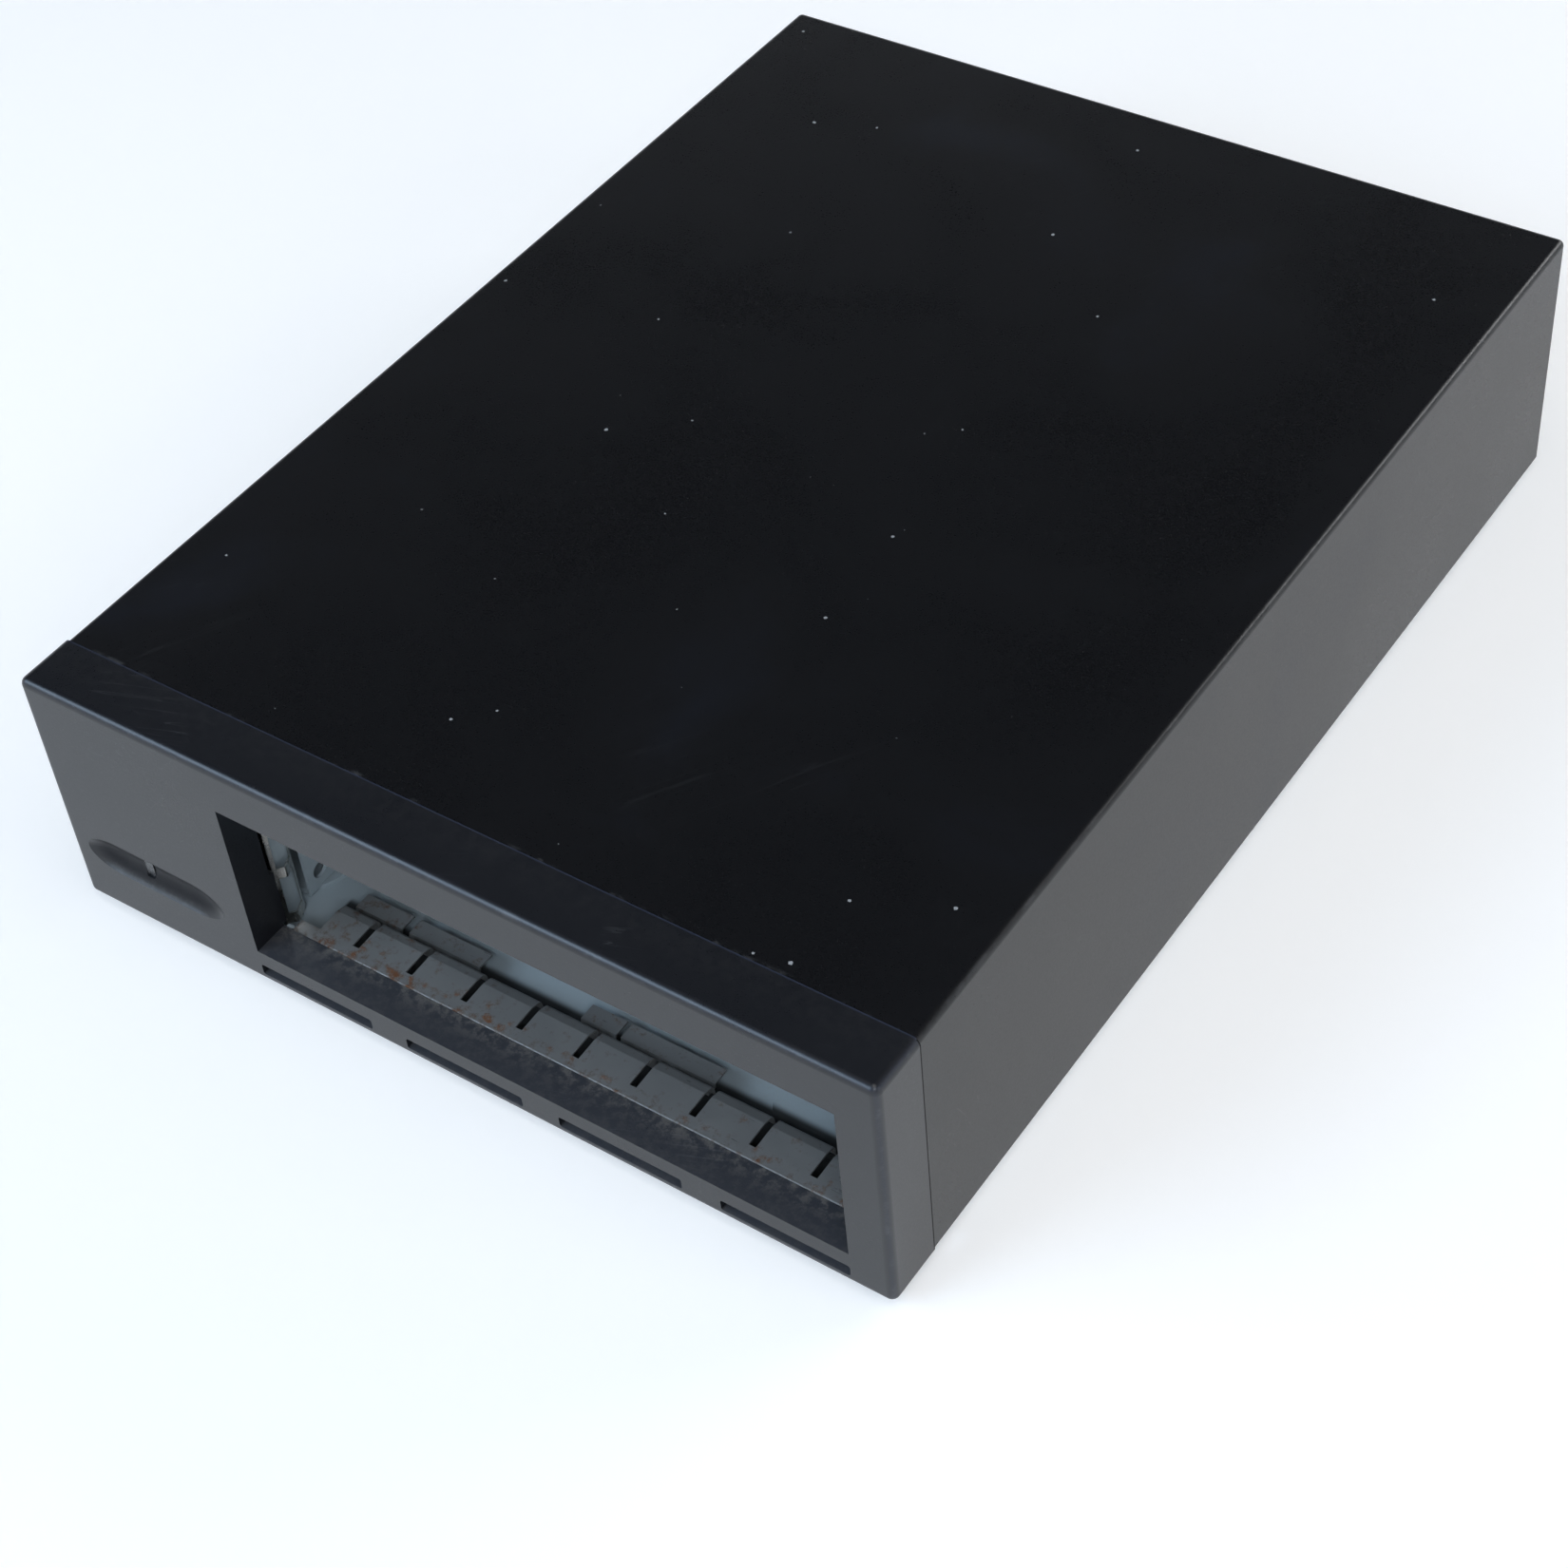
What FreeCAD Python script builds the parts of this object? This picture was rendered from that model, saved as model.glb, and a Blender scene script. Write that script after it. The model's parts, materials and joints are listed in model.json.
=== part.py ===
"""One-bay desktop enclosure for a 5.25 inch half-height SCSI tape drive, bay empty.

X runs to the right seen from the front, Y from the bezel's face to the rear,
Z up from the table. Millimetres.
"""
import FreeCAD, Part
import math
import os

Vector = FreeCAD.Vector
X_AXIS = Vector(1, 0, 0)
Y_AXIS = Vector(0, 1, 0)
Z_AXIS = Vector(0, 0, 1)

# ---- case ----
SUPPLY_W = 51.1           # bezel's left edge to the bay
BAY_RIGHT_MARGIN = 9.9
DRIVE_W = 146.05
BAY_SIDE_GAP = 0.975      # drive to the bay's edge, each side
BAY_H = 42.1
BAY_SILL = 9.4            # bezel underside up to the bay
BAY_HEADROOM = 11.0       # least room from the bay up to the cover
CASE_D = 284.0            # bezel face to the rear panel's outer face
BEZEL_D = 14.0
BEZEL_EDGE_R = 1.8
FOOT_GAP = 2.5            # table to the bezel's underside
SHEET = 0.8               # chassis steel
COVER_SHEET = 0.8
COVER_STEP = 0.4          # the cover lies this far inside the bezel's outline
COVER_LIFT = 1.2          # bezel underside up to the cover's lower edge
COVER_EDGE_R = 1.5        # outer bend radius of the cover
SEAM = 0.2                # bezel to cover
FIT = 0.1                 # clearance of pieces that sit in or beside each other
SIDE_FIT = 0.3            # chassis to cover, each side
FLOOR_LIFT = 0.8          # bezel underside up to the chassis underside
CHASSIS_BEND_R = 1.0      # middle line of the chassis bends
SIDE_LIP_H = 12.0         # upturned edges of the chassis floor
WELD_TAB_H = 6.0
TRAY_END_GAP = 1.0        # raised sides stop this far before the rear bend
FAN_TAB_GAP = 4.0         # fan to the weld tabs beside it

# ---- fan: with the bay, its size sets the height of the case ----
FAN_SIZE = 60.0
FAN_DEPTH = 25.0
FAN_HOLE_INSET = 5.0
FAN_RIM = 1.6             # bore to the fan's flat sides
FAN_FLANGE = 3.2
FAN_CORNER_R = 3.5
FAN_TUBE_WALL = 1.1
FAN_HOLE_R = 2.15
FAN_HEADROOM = 0.9
HUB_CUP_R = 14.5
HUB_CUP_D = 2.6
HUB_RECESS = 0.4
STRUT_W = 2.6
STRUTS = 4
BEARING_TUBE_R = 4.0
BEARING_L = 13.0
SHAFT_R = 1.5
SHAFT_PLAY = 0.05
ROTOR_R = 15.4
ROTOR_WALL = 1.4
ROTOR_FRONT_GAP = 0.9
ROTOR_REAR_GAP = 1.2
ROTOR_BOSS_R = 3.4
ROTOR_EDGE = 0.8
MAGNET_T = 1.0
STATOR_AIR_GAP = 0.5
STATOR_L = 8.0
STATOR_POLES = 4
BLADES = 7
BLADE_T = 1.1
BLADE_TIP_GAP = 0.8
BLADE_ROOT_ANGLE = 48.0   # from the plane of the rotor
BLADE_TIP_ANGLE = 30.0
BLADE_ROOT_CHORD = 17.0
BLADE_TIP_CHORD = 19.0

# ---- widths and heights that follow ----
BAY_W = DRIVE_W + 2 * BAY_SIDE_GAP
CASE_W = SUPPLY_W + BAY_W + BAY_RIGHT_MARGIN
FAN_PITCH = FAN_SIZE - 2 * FAN_HOLE_INSET
FAN_BORE_R = FAN_SIZE / 2 - FAN_RIM
BAY_Z0 = FOOT_GAP + BAY_SILL
BAY_Z1 = BAY_Z0 + BAY_H
FLOOR_BOTTOM = FOOT_GAP + FLOOR_LIFT
FLOOR_TOP = FLOOR_BOTTOM + SHEET
FAN_BOTTOM = FLOOR_TOP + FIT
FAN_Z = FAN_BOTTOM + FAN_SIZE / 2
COVER_INNER_TOP = max(FAN_BOTTOM + FAN_SIZE + FAN_HEADROOM, BAY_Z1 + BAY_HEADROOM)
COVER_TOP = COVER_INNER_TOP + COVER_SHEET
BEZEL_TOP = COVER_TOP + COVER_STEP
COVER_BOTTOM = FOOT_GAP + COVER_LIFT
COVER_HALF_W = CASE_W / 2 - COVER_STEP
CHASSIS_HALF_W = COVER_HALF_W - COVER_SHEET - SIDE_FIT
LEFT = -CASE_W / 2
PANEL_INNER = CASE_D - SHEET

# ---- bezel ----
PLATE = 2.5
RIM = 2.2
TUNNEL_WALL = 2.2
TUNNEL_D = 8.4
JAMB_RIB_D = 1.1
JAMB_RIB_LOW = 10.0
JAMB_RIB_HIGH = 25.0
VENTS = 4
VENT_W = 30.0
VENT_H = 2.9
VENT_SILL = 2.4
CHASSIS_VENT_SILL = 1.2
CHASSIS_VENT_HEAD = 1.6
GROOVE_L = 38.7
GROOVE_H = 9.5
GROOVE_DEPTH = 2.2
GROOVE_LEFT = 5.0
GROOVE_SILL = 12.3
GROOVE_NOSE = 12.0        # length of the tapering end of the groove's form
GROOVE_BACKING = 2.0
LENS_FROM_LEFT = 21.0
LENS_W = 2.3
LENS_H = 5.0
LENS_PROUD = 0.3
LENS_BASE = 1.2           # the lens's base is this much larger each side
LENS_L = 7.0
LAMP_R = 1.5
LAMP_L = 5.0
LAMP_SOCKET = 2.6
LAMP_RIM = 0.4
HOOK_W = 5.0
HOOK_T = 1.5
HOOK_BARB = 0.9
HOOK_BARB_L = 2.0
HOOK_FROM_LEFT = 24.0
HOOK_FROM_TOP = 3.6
HOOK_SILL = 5.6

BAY_X1 = CASE_W / 2 - BAY_RIGHT_MARGIN
BAY_X0 = BAY_X1 - BAY_W

# ---- sheet-metal front ----
LIP_Y = 9.0               # front edge of the chassis
LIP_DROP = 0.7            # bay sill down to the top of the chassis's front lip
FRONT_RETREAT = 2.7       # the chassis's front end is narrower, to clear the bezel
BULKHEAD_Y = 19.0
BULKHEAD_TOP_GAP = 1.6
BULKHEAD_MARGIN = 0.7
BULKHEAD_FOOT = 8.0
BULKHEAD_LUG = 5.5        # forward flange that carries the side spring
DIVIDER_FROM_BAY = 6.0     # middle of the wall to the bay's left edge
DIVIDER_Y = 22.0
DIVIDER_END_GAP = 1.4
DIVIDER_TOP_GAP = 2.0
DIVIDER_FOOT = 6.0
DIVIDER_HOLE_R = 2.0
DIVIDER_HOLE_INSET = 4.0
DIVIDER_HOLE_H = 5.6
CABLE_NOTCH_Y = 150.0
CABLE_NOTCH_W = 34.0
CABLE_NOTCH_H = 14.0
CABLE_NOTCH_R = 4.0

# ---- EMI strips ----
STRIP_T = 0.4
STRIP_BENDS = (0.35, 1.0, 1.2)
STRIP_SEAT = 0.05
STRIP_LEFT_INSET = 2.3
STRIP_RIGHT_INSET = 2.1
STRIP_TABLE = 8.6         # length of the flat part
STRIP_CREST = 2.6
STRIP_DROP = 2.9
FINGER_PITCH = 14.4
FINGER_SLOT = 1.7
FINGER_FIRST = 17.1       # bay's left edge to the first slot's middle
FINGER_SLOT_Y = 11.6
HALF_FINGER = 8.7         # bay's left edge to the first finger
RETAINERS = ((7.3, 20.0), (22.0, 41.0), (67.5, 76.4), (77.6, 101.0))
RETAINER_STEP = 1.3
RETAINER_RISE = 1.0
RETAINER_L = 4.0
RETAINER_BEND = 0
SPRING_T = 0.4
SPRING_GAP = 0.3
SPRING_BULGE = 1.8
SPRING_LOW = 2.5
SPRING_HIGH = 47.0
SPRING_BARS = 3
SPRING_BAR_H = 3.0

# ---- drive brackets ----
DRIVE_HOLE_Y = 50.0
DRIVE_HOLE_PITCH = 79.25
DRIVE_HOLE_H = 10.0       # drive's underside up to its side holes
DRIVE_HOLE_R = 1.7
DRIVE_LIFT = 0.5          # bay sill up to the drive's underside
BRACKET_T = 1.0
BRACKET_BEND_R = 1.0
BRACKET_FIT = 0.15
BRACKET_END = 9.0
BRACKET_RISE = 6.0
BRACKET_FOOT = 5.0
BRACKET_SCREW_R = 1.25
BRACKET_SCREW_HEAD = 2.4
BRACKET_SCREW_INSET = 16.0

# ---- cover and panel joints ----
TOP_FLANGE = 4.0
SIDE_FLANGE = 9.9
MITRE_GAP = 0.5
JOGGLE = 2.8              # cover flange's edge to the joggle of the panel
COVER_SCREW_INSET = 5.9
COVER_SCREW_Z = 32.4
COVER_SCREW_R = 1.6
COVER_SCREW_L = 7.0
COVER_SCREW_HEAD_R = 3.3
COVER_SCREW_HEAD_H = 2.2
COVER_HOLE_PLAY = 0.3
PANEL_TOP_GAP = 0.15
PANEL_RETURN = 8.0

# ---- fan grille ----
GRILLE_DROP = 2.0         # ring centre below the fan's centre
GRILLE_INSET = 1.5        # outer slots to the fan's bore
OUTER_SLOT = 3.5
OUTER_WEB = 2.7
RING_SLOT = 3.8
RING_WEB = 2.6
GRILLE_OUTER_R = FAN_BORE_R - GRILLE_INSET
GRILLE_OUTER_INNER_R = GRILLE_OUTER_R - OUTER_SLOT
GRILLE_DISC_R = GRILLE_OUTER_INNER_R - OUTER_WEB - RING_WEB - 2 * RING_SLOT
GRILLE_OUTER_DROP = 0.8
SPOKE_W = 4.7
SPOKE_ANGLES = (56.0, 147.0, 236.0, 323.0)
FAN_SCREW_R = 2.0
FAN_SCREW_L = 10.0
FAN_SCREW_HEAD_R = 2.6
FAN_SCREW_HEAD_H = 1.9

# ---- SCSI ports ----
REAR_SPACING = (21, 32, 8)    # how divider, fan, ports and panel edge share the spare width
PORT_FROM_TOP = 8.05      # upper port to the panel's top
PORT_PITCH = 17.9
PORT_NAMES = ("lower", "upper")
SHELL_END = 1.695         # outermost contact to the shell's outside
SHELL_H = 5.6
SHELL_TAPER = 1.0
SHELL_REACH = 6.3
SHELL_T = 0.4
SHELL_R = 1.2
PORT_CUT_SIDE = 3.35
PORT_CUT_EDGE = 1.0
PORT_CUT_R = 1.5
PORT_FLANGE_END = 4.15    # jackscrew to the flange's end
PORT_FLANGE_H = 9.0
JACK_PITCH = 57.7
JACK_R = 2.25
JACK_L = 5.0
JACK_THREAD_R = 1.4
JACK_BORE_R = 1.1
JACK_BORE_L = 3.5
JACK_BACK = 3.0
CONTACTS = 34
CONTACT_PITCH = 1.27
CONTACT_ROWS = 2.0        # distance between the two rows
CONTACT_W = 0.55
CONTACT_H = 0.9
CONTACT_DEEP = 3.0
CONTACT_SETBACK = 0.8
SHELL_W = (CONTACTS - 1) * CONTACT_PITCH + 2 * SHELL_END
PORT_CUT_W = SHELL_W + 2 * PORT_CUT_SIDE
PORT_CUT_H = SHELL_H + 2 * PORT_CUT_EDGE
PORT_FLANGE_W = JACK_PITCH + 2 * PORT_FLANGE_END
INSULATOR_SETBACK = 0.4
INSULATOR_BACK = 11.0
SPARE_HOLE_R = 2.3
SPARE_HOLE_FROM_PORT = 29.0
SPARE_HOLE_RISE = 9.2     # above the lower port
KNOCKOUT_FROM_PORT = 0.3
KNOCKOUT_Z = 16.4
KNOCKOUT_W = 17.0
KNOCKOUT_H = 8.0
KNOCKOUT_BEVEL = 1.5
KNOCKOUT_EAR = 13.8
KNOCKOUT_EAR_H = 4.0
KNOCKOUT_LINE = 0.35
KNOCKOUT_JOINT = 1.2

# ---- mains inlet ----
INLET_SIDE_GAP = 1.0      # inlet body to the divider
INLET_Z = 19.2
INLET_W = 31.0
INLET_H = 23.0
INLET_PROUD = 3.7
INLET_R = 1.5
INLET_WALL = 1.5
INLET_BACK = 18.0
SOCKET_W = 24.4
SOCKET_H = 16.8
SOCKET_D = 17.0
SOCKET_CHAMFER = 4.0
INLET_BODY_W = SOCKET_W + 2 * INLET_WALL
INLET_BODY_H = SOCKET_H + 2 * INLET_WALL
PIN_PITCH = 14.0
PIN_W = 2.0
PIN_H = 4.0
PIN_SETBACK = 4.8
PIN_RISE = 0.8            # live pins above the socket's middle
EARTH_DROP = 4.0
PIN_TAIL = 7.0

# ---- power switch ----
SWITCH_SIDE_GAP = 1.35    # face plate to the ID switch
SWITCH_FROM_TOP = 10.95   # middle to the panel's top
SWITCH_W = 15.2
SWITCH_H = 20.6
SWITCH_PROUD = 2.5
SWITCH_R = 0.8
SWITCH_BODY_W = 13.2
SWITCH_BODY_H = 19.0
SWITCH_BACK = 13.0
ROCKER_W = 11.2
ROCKER_SIDE_GAP = 0.2
ROCKER_R = 8.2
ROCKER_GAP = 0.25
ROCKER_DEPTH = 4.0        # switch face to the pivot
ROCKER_CROWN = 3.3        # pivot to the bottom of the rocker's V
ROCKER_TILT = 10.0        # each face of the V, and half of the throw
ROCKER_KEEL = 2.6
ROCKER_CELLAR = 4.4
ROCKER_PIN_R = 1.0
ROCKER_PIN_PLAY = 0.05
ROCKER_PIN_END = 0.1
BLADE_TAB_W = 4.8
BLADE_TAB_T = 0.8
BLADE_TAB_L = 7.5
BLADE_TAB_PITCH = 7.0

# ---- ID switch ----
ID_SIDE_GAP = 0.7         # body to the divider
ID_FROM_TOP = 11.15       # middle to the panel's top
ID_W = 12.3
ID_H = 14.5
ID_PROUD = 2.1
ID_R = 0.8
ID_BODY_W = 11.2
ID_BODY_H = 13.2
ID_BACK = 12.0
ID_FRONT_WALL = 1.0
WHEEL_R = 4.2
WHEEL_W = 3.2
RATCHET_R = 3.6
RATCHET_W = 1.0
RATCHET_TEETH = 10
WHEEL_SETBACK = 0.6
WHEEL_SIDE_GAP = 0.2
WHEEL_AXLE_R = 0.8
WHEEL_AXLE_PLAY = 0.05
WHEEL_AXLE_L = 1.2
WHEEL_CHAMBER_GAP = 0.4
WINDOW_H = 4.8
WINDOW_SIDE = 0.1
BUTTON_LOW = 3.2
BUTTON_HIGH = 5.6
BUTTON_W = 3.6
BUTTON_PROUD = 0.4
BUTTON_IN = 0.9
BUTTON_TRAVEL = 0.9
BUTTON_PLAY = 0.12
BUTTON_LEG_T = 0.8
BUTTON_LEG_W = 4.4
BUTTON_LEG_L = 5.0

# ---- power supply ----
BOARD_REAR_GAP = 63.0
BOARD_SIDE_GAP = 0.6      # board to the divider's foot
BOARD_T = 1.6
BOARD_Y = 56.0
BOARD_FROM_LEFT = 4.5
EDGE_MARGIN = 2.0         # board edge to the nearest tall piece
PIECE_GAP = 3.0           # between neighbours along the board
STANDOFF_H = 6.0
STANDOFF_R = 2.75
STANDOFF_INSET = 4.0
BOARD_SCREW_R = 1.25
BOARD_SCREW_HEAD_R = 2.7
BOARD_SCREW_HEAD_H = 1.8
BOARD_SCREW_L = 5.0
SCREW_PLAY = 0.1
TRANSFORMER_MARGIN = 3.0
TRANSFORMER_H = 26.0
TRANSFORMER_BOBBIN = 3.0
CAPACITOR_R = 9.0
CAPACITOR_H = 32.0
CAPACITORS = 2
CAPACITOR_EDGE = 1.0
HEATSINK_T = 3.0
HEATSINK_H = 38.0
HEATSINK_GAP = 2.0        # foot to the pieces on the board's other edge
HEATSINK_INSET = 3.0
CHOKE_R = 9.0
CHOKE_CORE_R = 3.6
CHOKE_T = 9.0
CHOKE_EDGE = 2.0
FUSE_L = 20.0
FUSE_R = 2.6
FUSE_INSET = 8.0
FUSE_CLIP_T = 1.2
FUSE_CLIP_W = 4.0
FUSE_CLIP_PITCH = 15.2
HEADER_W = 22.0
HEADER_L = 8.0
HEADER_H = 11.0
HEADER_WALL = 1.2
HEADER_PINS = 4
HEADER_PITCH = 5.0
HEADER_PIN = 1.2

# ---- feet ----
FOOT_R = 11.4
FOOT_FIT = 0.6
FOOT_FROM_SIDE = 35.0
FOOT_FROM_END = 33.0
FOOT_DIMPLE = 1.0
FOOT_EDGE = 0.8

TOTAL_D = CASE_D + SHELL_REACH


# ---- helpers ----
def xz(y):
    return lambda u, v: Vector(u, y, v)


def yz(x):
    return lambda u, v: Vector(x, u, v)


def xy(z):
    return lambda u, v: Vector(u, v, z)


def box(x0, x1, y0, y1, z0, z1):
    return Part.makeBox(x1 - x0, y1 - y0, z1 - z0, Vector(x0, y0, z0))


def rod(radius, start, length, axis):
    return Part.makeCylinder(radius, length, start, axis)


def fuse(shapes):
    shapes = list(shapes)
    joined = shapes[0]
    for shape in shapes[1:]:
        joined = joined.fuse(shape)
    return joined.removeSplitter()


def cut(body, tools):
    tools = list(tools)
    return body.cut(tools) if tools else body


def outline(points, place):
    """Straight-sided closed face through the points."""
    corners = [place(*point) for point in points]
    return Part.Face(Part.makePolygon(corners + corners[:1]))


def rounded_face(u0, u1, v0, v1, radius, place):
    """Rectangle with round corners."""
    radius = min(radius, (u1 - u0) / 2 - 0.01, (v1 - v0) / 2 - 0.01)
    corners = ((u1, v0, -90), (u1, v1, 0), (u0, v1, 90), (u0, v0, 180))
    middles = [(u - radius if u == u1 else u + radius, v - radius if v == v1 else v + radius, start)
               for u, v, start in corners]
    edges = []
    for i, (cu, cv, start) in enumerate(middles):
        turn = [place(cu + radius * math.cos(math.radians(start + step)),
                      cv + radius * math.sin(math.radians(start + step))) for step in (0, 45, 90)]
        edges.append(Part.Arc(*turn).toShape())
        nu, nv, after = middles[(i + 1) % 4]
        goal = place(nu + radius * math.cos(math.radians(after)),
                     nv + radius * math.sin(math.radians(after)))
        edges.append(Part.LineSegment(turn[2], goal).toShape())
    return Part.Face(Part.Wire(edges))


def rounded_block(u0, u1, v0, v1, radius, place, sweep):
    return rounded_face(u0, u1, v0, v1, radius, place).extrude(sweep)


def bent_sheet(points, thickness, bends, place, sweep):
    """Sheet whose middle line runs through the points with round bends, swept to its width.

    The bends are one radius for all corners, or one for each corner. 0 makes a square corner.
    """
    half = thickness / 2
    if not isinstance(bends, (list, tuple)):
        bends = [bends] * (len(points) - 2)
    runs = []
    for (au, av), (bu, bv) in zip(points, points[1:]):
        length = math.hypot(bu - au, bv - av)
        runs.append(((bu - au) / length, (bv - av) / length))

    def side_edges(side):
        def off(point, run):
            return (point[0] - run[1] * side * half, point[1] + run[0] * side * half)

        edges = []
        here = off(points[0], runs[0])
        first = here
        for corner, bend, before, after in zip(points[1:-1], bends, runs, runs[1:]):
            along = before[0] * after[0] + before[1] * after[1]
            turn = math.atan2(before[0] * after[1] - before[1] * after[0], along)
            if bend == 0:
                reach = side * half / (1 + along)
                mitre = (corner[0] - (before[1] + after[1]) * reach,
                         corner[1] + (before[0] + after[0]) * reach)
                edges.append(Part.LineSegment(place(*here), place(*mitre)).toShape())
                here = mitre
                continue
            back = bend * math.tan(abs(turn) / 2)
            start = (corner[0] - before[0] * back, corner[1] - before[1] * back)
            end = (corner[0] + after[0] * back, corner[1] + after[1] * back)
            sign = math.copysign(1, turn)
            centre = (start[0] - before[1] * sign * bend, start[1] + before[0] * sign * bend)
            out = (corner[0] - centre[0], corner[1] - centre[1])
            reach = (bend - sign * side * half) / math.hypot(*out)
            middle = (centre[0] + out[0] * reach, centre[1] + out[1] * reach)
            a, b = off(start, before), off(end, after)
            edges.append(Part.LineSegment(place(*here), place(*a)).toShape())
            edges.append(Part.Arc(place(*a), place(*middle), place(*b)).toShape())
            here = b
        last = off(points[-1], runs[-1])
        edges.append(Part.LineSegment(place(*here), place(*last)).toShape())
        return edges, first, last

    upper, upper_first, upper_last = side_edges(1)
    lower, lower_first, lower_last = side_edges(-1)
    caps = [Part.LineSegment(place(*upper_last), place(*lower_last)).toShape(),
            Part.LineSegment(place(*lower_first), place(*upper_first)).toShape()]
    ring = Part.Wire(Part.__sortEdges__(upper + [caps[0]] + lower + [caps[1]]))
    return Part.Face(ring).extrude(sweep)


def turned(profile, axis_point, axis):
    """Solid of revolution of a straight-sided profile."""
    return profile.revolve(axis_point, axis, 360)


def fillet_where(shape, radius, wanted):
    """Round the edges that the test picks."""
    edges = [edge for edge in shape.Edges if wanted(edge)]
    return shape.makeFillet(radius, edges) if edges and radius > 0 else shape


def chamfer_rim(shape, size, wanted):
    """Bevel the round edges that the test picks."""
    rims = [edge for edge in shape.Edges if len(edge.Vertexes) == 1 and wanted(edge)]
    return shape.makeChamfer(size, rims)


def is_along(edge, axis):
    if not isinstance(edge.Curve, Part.Line):
        return False
    return abs(abs(edge.Curve.Direction.dot(axis)) - 1) < 1e-6


def pan_screw(x, z, y_seat, head_r, head_h, shank_r, length):
    """Pan-head screw seen from the rear, its head on the plane y_seat, its shank towards the front."""
    profile = outline([(0, -length), (shank_r, -length), (shank_r, 0), (head_r, 0),
                       (head_r, head_h * 0.5), (head_r * 0.7, head_h), (0, head_h)],
                      lambda u, v: Vector(x + u, y_seat + v, z))
    return turned(profile, Vector(x, y_seat, z), Y_AXIS)


def export(name, shape):
    shape = shape.copy()
    shape.translate(Vector(0, -TOTAL_D / 2, 0))
    shape.exportStep("parts/" + name + ".step")


# ---- places shared by several pieces ----
DIVIDER_X = BAY_X0 - DIVIDER_FROM_BAY
PANEL_STEP_X = COVER_HALF_W - SIDE_FLANGE - JOGGLE
REAR_SPARE = PANEL_STEP_X - DIVIDER_X - SHEET / 2 - FAN_SIZE - PORT_FLANGE_W
FAN_X = DIVIDER_X + SHEET / 2 + REAR_SPARE * REAR_SPACING[0] / sum(REAR_SPACING) + FAN_SIZE / 2
FAN_CORNERS = [(FAN_X + sx * FAN_PITCH / 2, FAN_Z + sz * FAN_PITCH / 2) for sx in (-1, 1) for sz in (-1, 1)]
PORT_X = PANEL_STEP_X - REAR_SPARE * REAR_SPACING[2] / sum(REAR_SPACING) - PORT_FLANGE_W / 2
ID_X = DIVIDER_X - SHEET / 2 - ID_SIDE_GAP - ID_BODY_W / 2
SWITCH_X = ID_X - ID_W / 2 - SWITCH_SIDE_GAP - SWITCH_W / 2
INLET_X = DIVIDER_X - SHEET / 2 - INLET_SIDE_GAP - INLET_BODY_W / 2
DIMPLE_R = FOOT_R + FOOT_FIT
FOOT_CENTRES = [(sx * (CASE_W / 2 - FOOT_FROM_SIDE), y)
                for sx in (-1, 1) for y in (FOOT_FROM_END, CASE_D - FOOT_FROM_END)]
BAY_MIDDLE = (BAY_X0 + BAY_X1) / 2
BRACKET_XS = [BAY_MIDDLE + side * (DRIVE_W / 2 + BRACKET_FIT + BRACKET_T / 2) for side in (-1, 1)]
DRIVE_HOLE_Z = BAY_Z0 + DRIVE_LIFT + DRIVE_HOLE_H
DRIVE_HOLE_YS = (DRIVE_HOLE_Y, DRIVE_HOLE_Y + DRIVE_HOLE_PITCH)
BRACKET_Y0 = DRIVE_HOLE_Y - BRACKET_END
BRACKET_Y1 = DRIVE_HOLE_Y + DRIVE_HOLE_PITCH + BRACKET_END
BRACKET_SCREWS = [(x + side * (BRACKET_T / 2 + BRACKET_FOOT / 2), y)
                  for side, x in zip((-1, 1), BRACKET_XS)
                  for y in (BRACKET_Y0 + BRACKET_SCREW_INSET, BRACKET_Y1 - BRACKET_SCREW_INSET)]
BULKHEAD_X0 = -CHASSIS_HALF_W + SHEET + BULKHEAD_MARGIN
BULKHEAD_X1 = -BULKHEAD_X0
BULKHEAD_TOP = COVER_INNER_TOP - BULKHEAD_TOP_GAP
STRAP_BOTTOM = BAY_Z1 + TUNNEL_WALL / 2
STRAP_RIGHT = BAY_X1 + TUNNEL_WALL / 2
HOOK_LEFT = LEFT + HOOK_FROM_LEFT
HOOK_RIGHT = (STRAP_RIGHT + BULKHEAD_X1) / 2
HOOK_HIGH = BULKHEAD_TOP - HOOK_FROM_TOP
HOOKS = [(HOOK_LEFT, FOOT_GAP + HOOK_SILL), (HOOK_LEFT, HOOK_HIGH), (BAY_MIDDLE, HOOK_HIGH),
         (HOOK_RIGHT, BAY_Z0 + HOOK_SILL), (HOOK_RIGHT, BAY_Z1 - HOOK_FROM_TOP)]
COVER_SCREWS = [(side * (CASE_W / 2 - COVER_SCREW_INSET), FOOT_GAP + COVER_SCREW_Z) for side in (-1, 1)]
PANEL_TOP = COVER_TOP - TOP_FLANGE - PANEL_TOP_GAP
SWITCH_MID_Z = PANEL_TOP - SWITCH_FROM_TOP
ID_MID_Z = PANEL_TOP - ID_FROM_TOP
INLET_MID_Z = FOOT_GAP + INLET_Z
LIP_TOP = BAY_Z0 - LIP_DROP
PORT_ZS = (PANEL_TOP - PORT_FROM_TOP - PORT_PITCH, PANEL_TOP - PORT_FROM_TOP)    # lower, upper
BOARD_X0 = LEFT + BOARD_FROM_LEFT
BOARD_W = DIVIDER_X - DIVIDER_FOOT - BOARD_SIDE_GAP - BOARD_X0
BOARD_L = CASE_D - BOARD_Y - BOARD_REAR_GAP
HEADER_Y = BOARD_Y + STANDOFF_INSET + PIECE_GAP + HEADER_L / 2
FUSE_Y = BOARD_Y + BOARD_L - STANDOFF_INSET - PIECE_GAP - FUSE_L / 2
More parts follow.
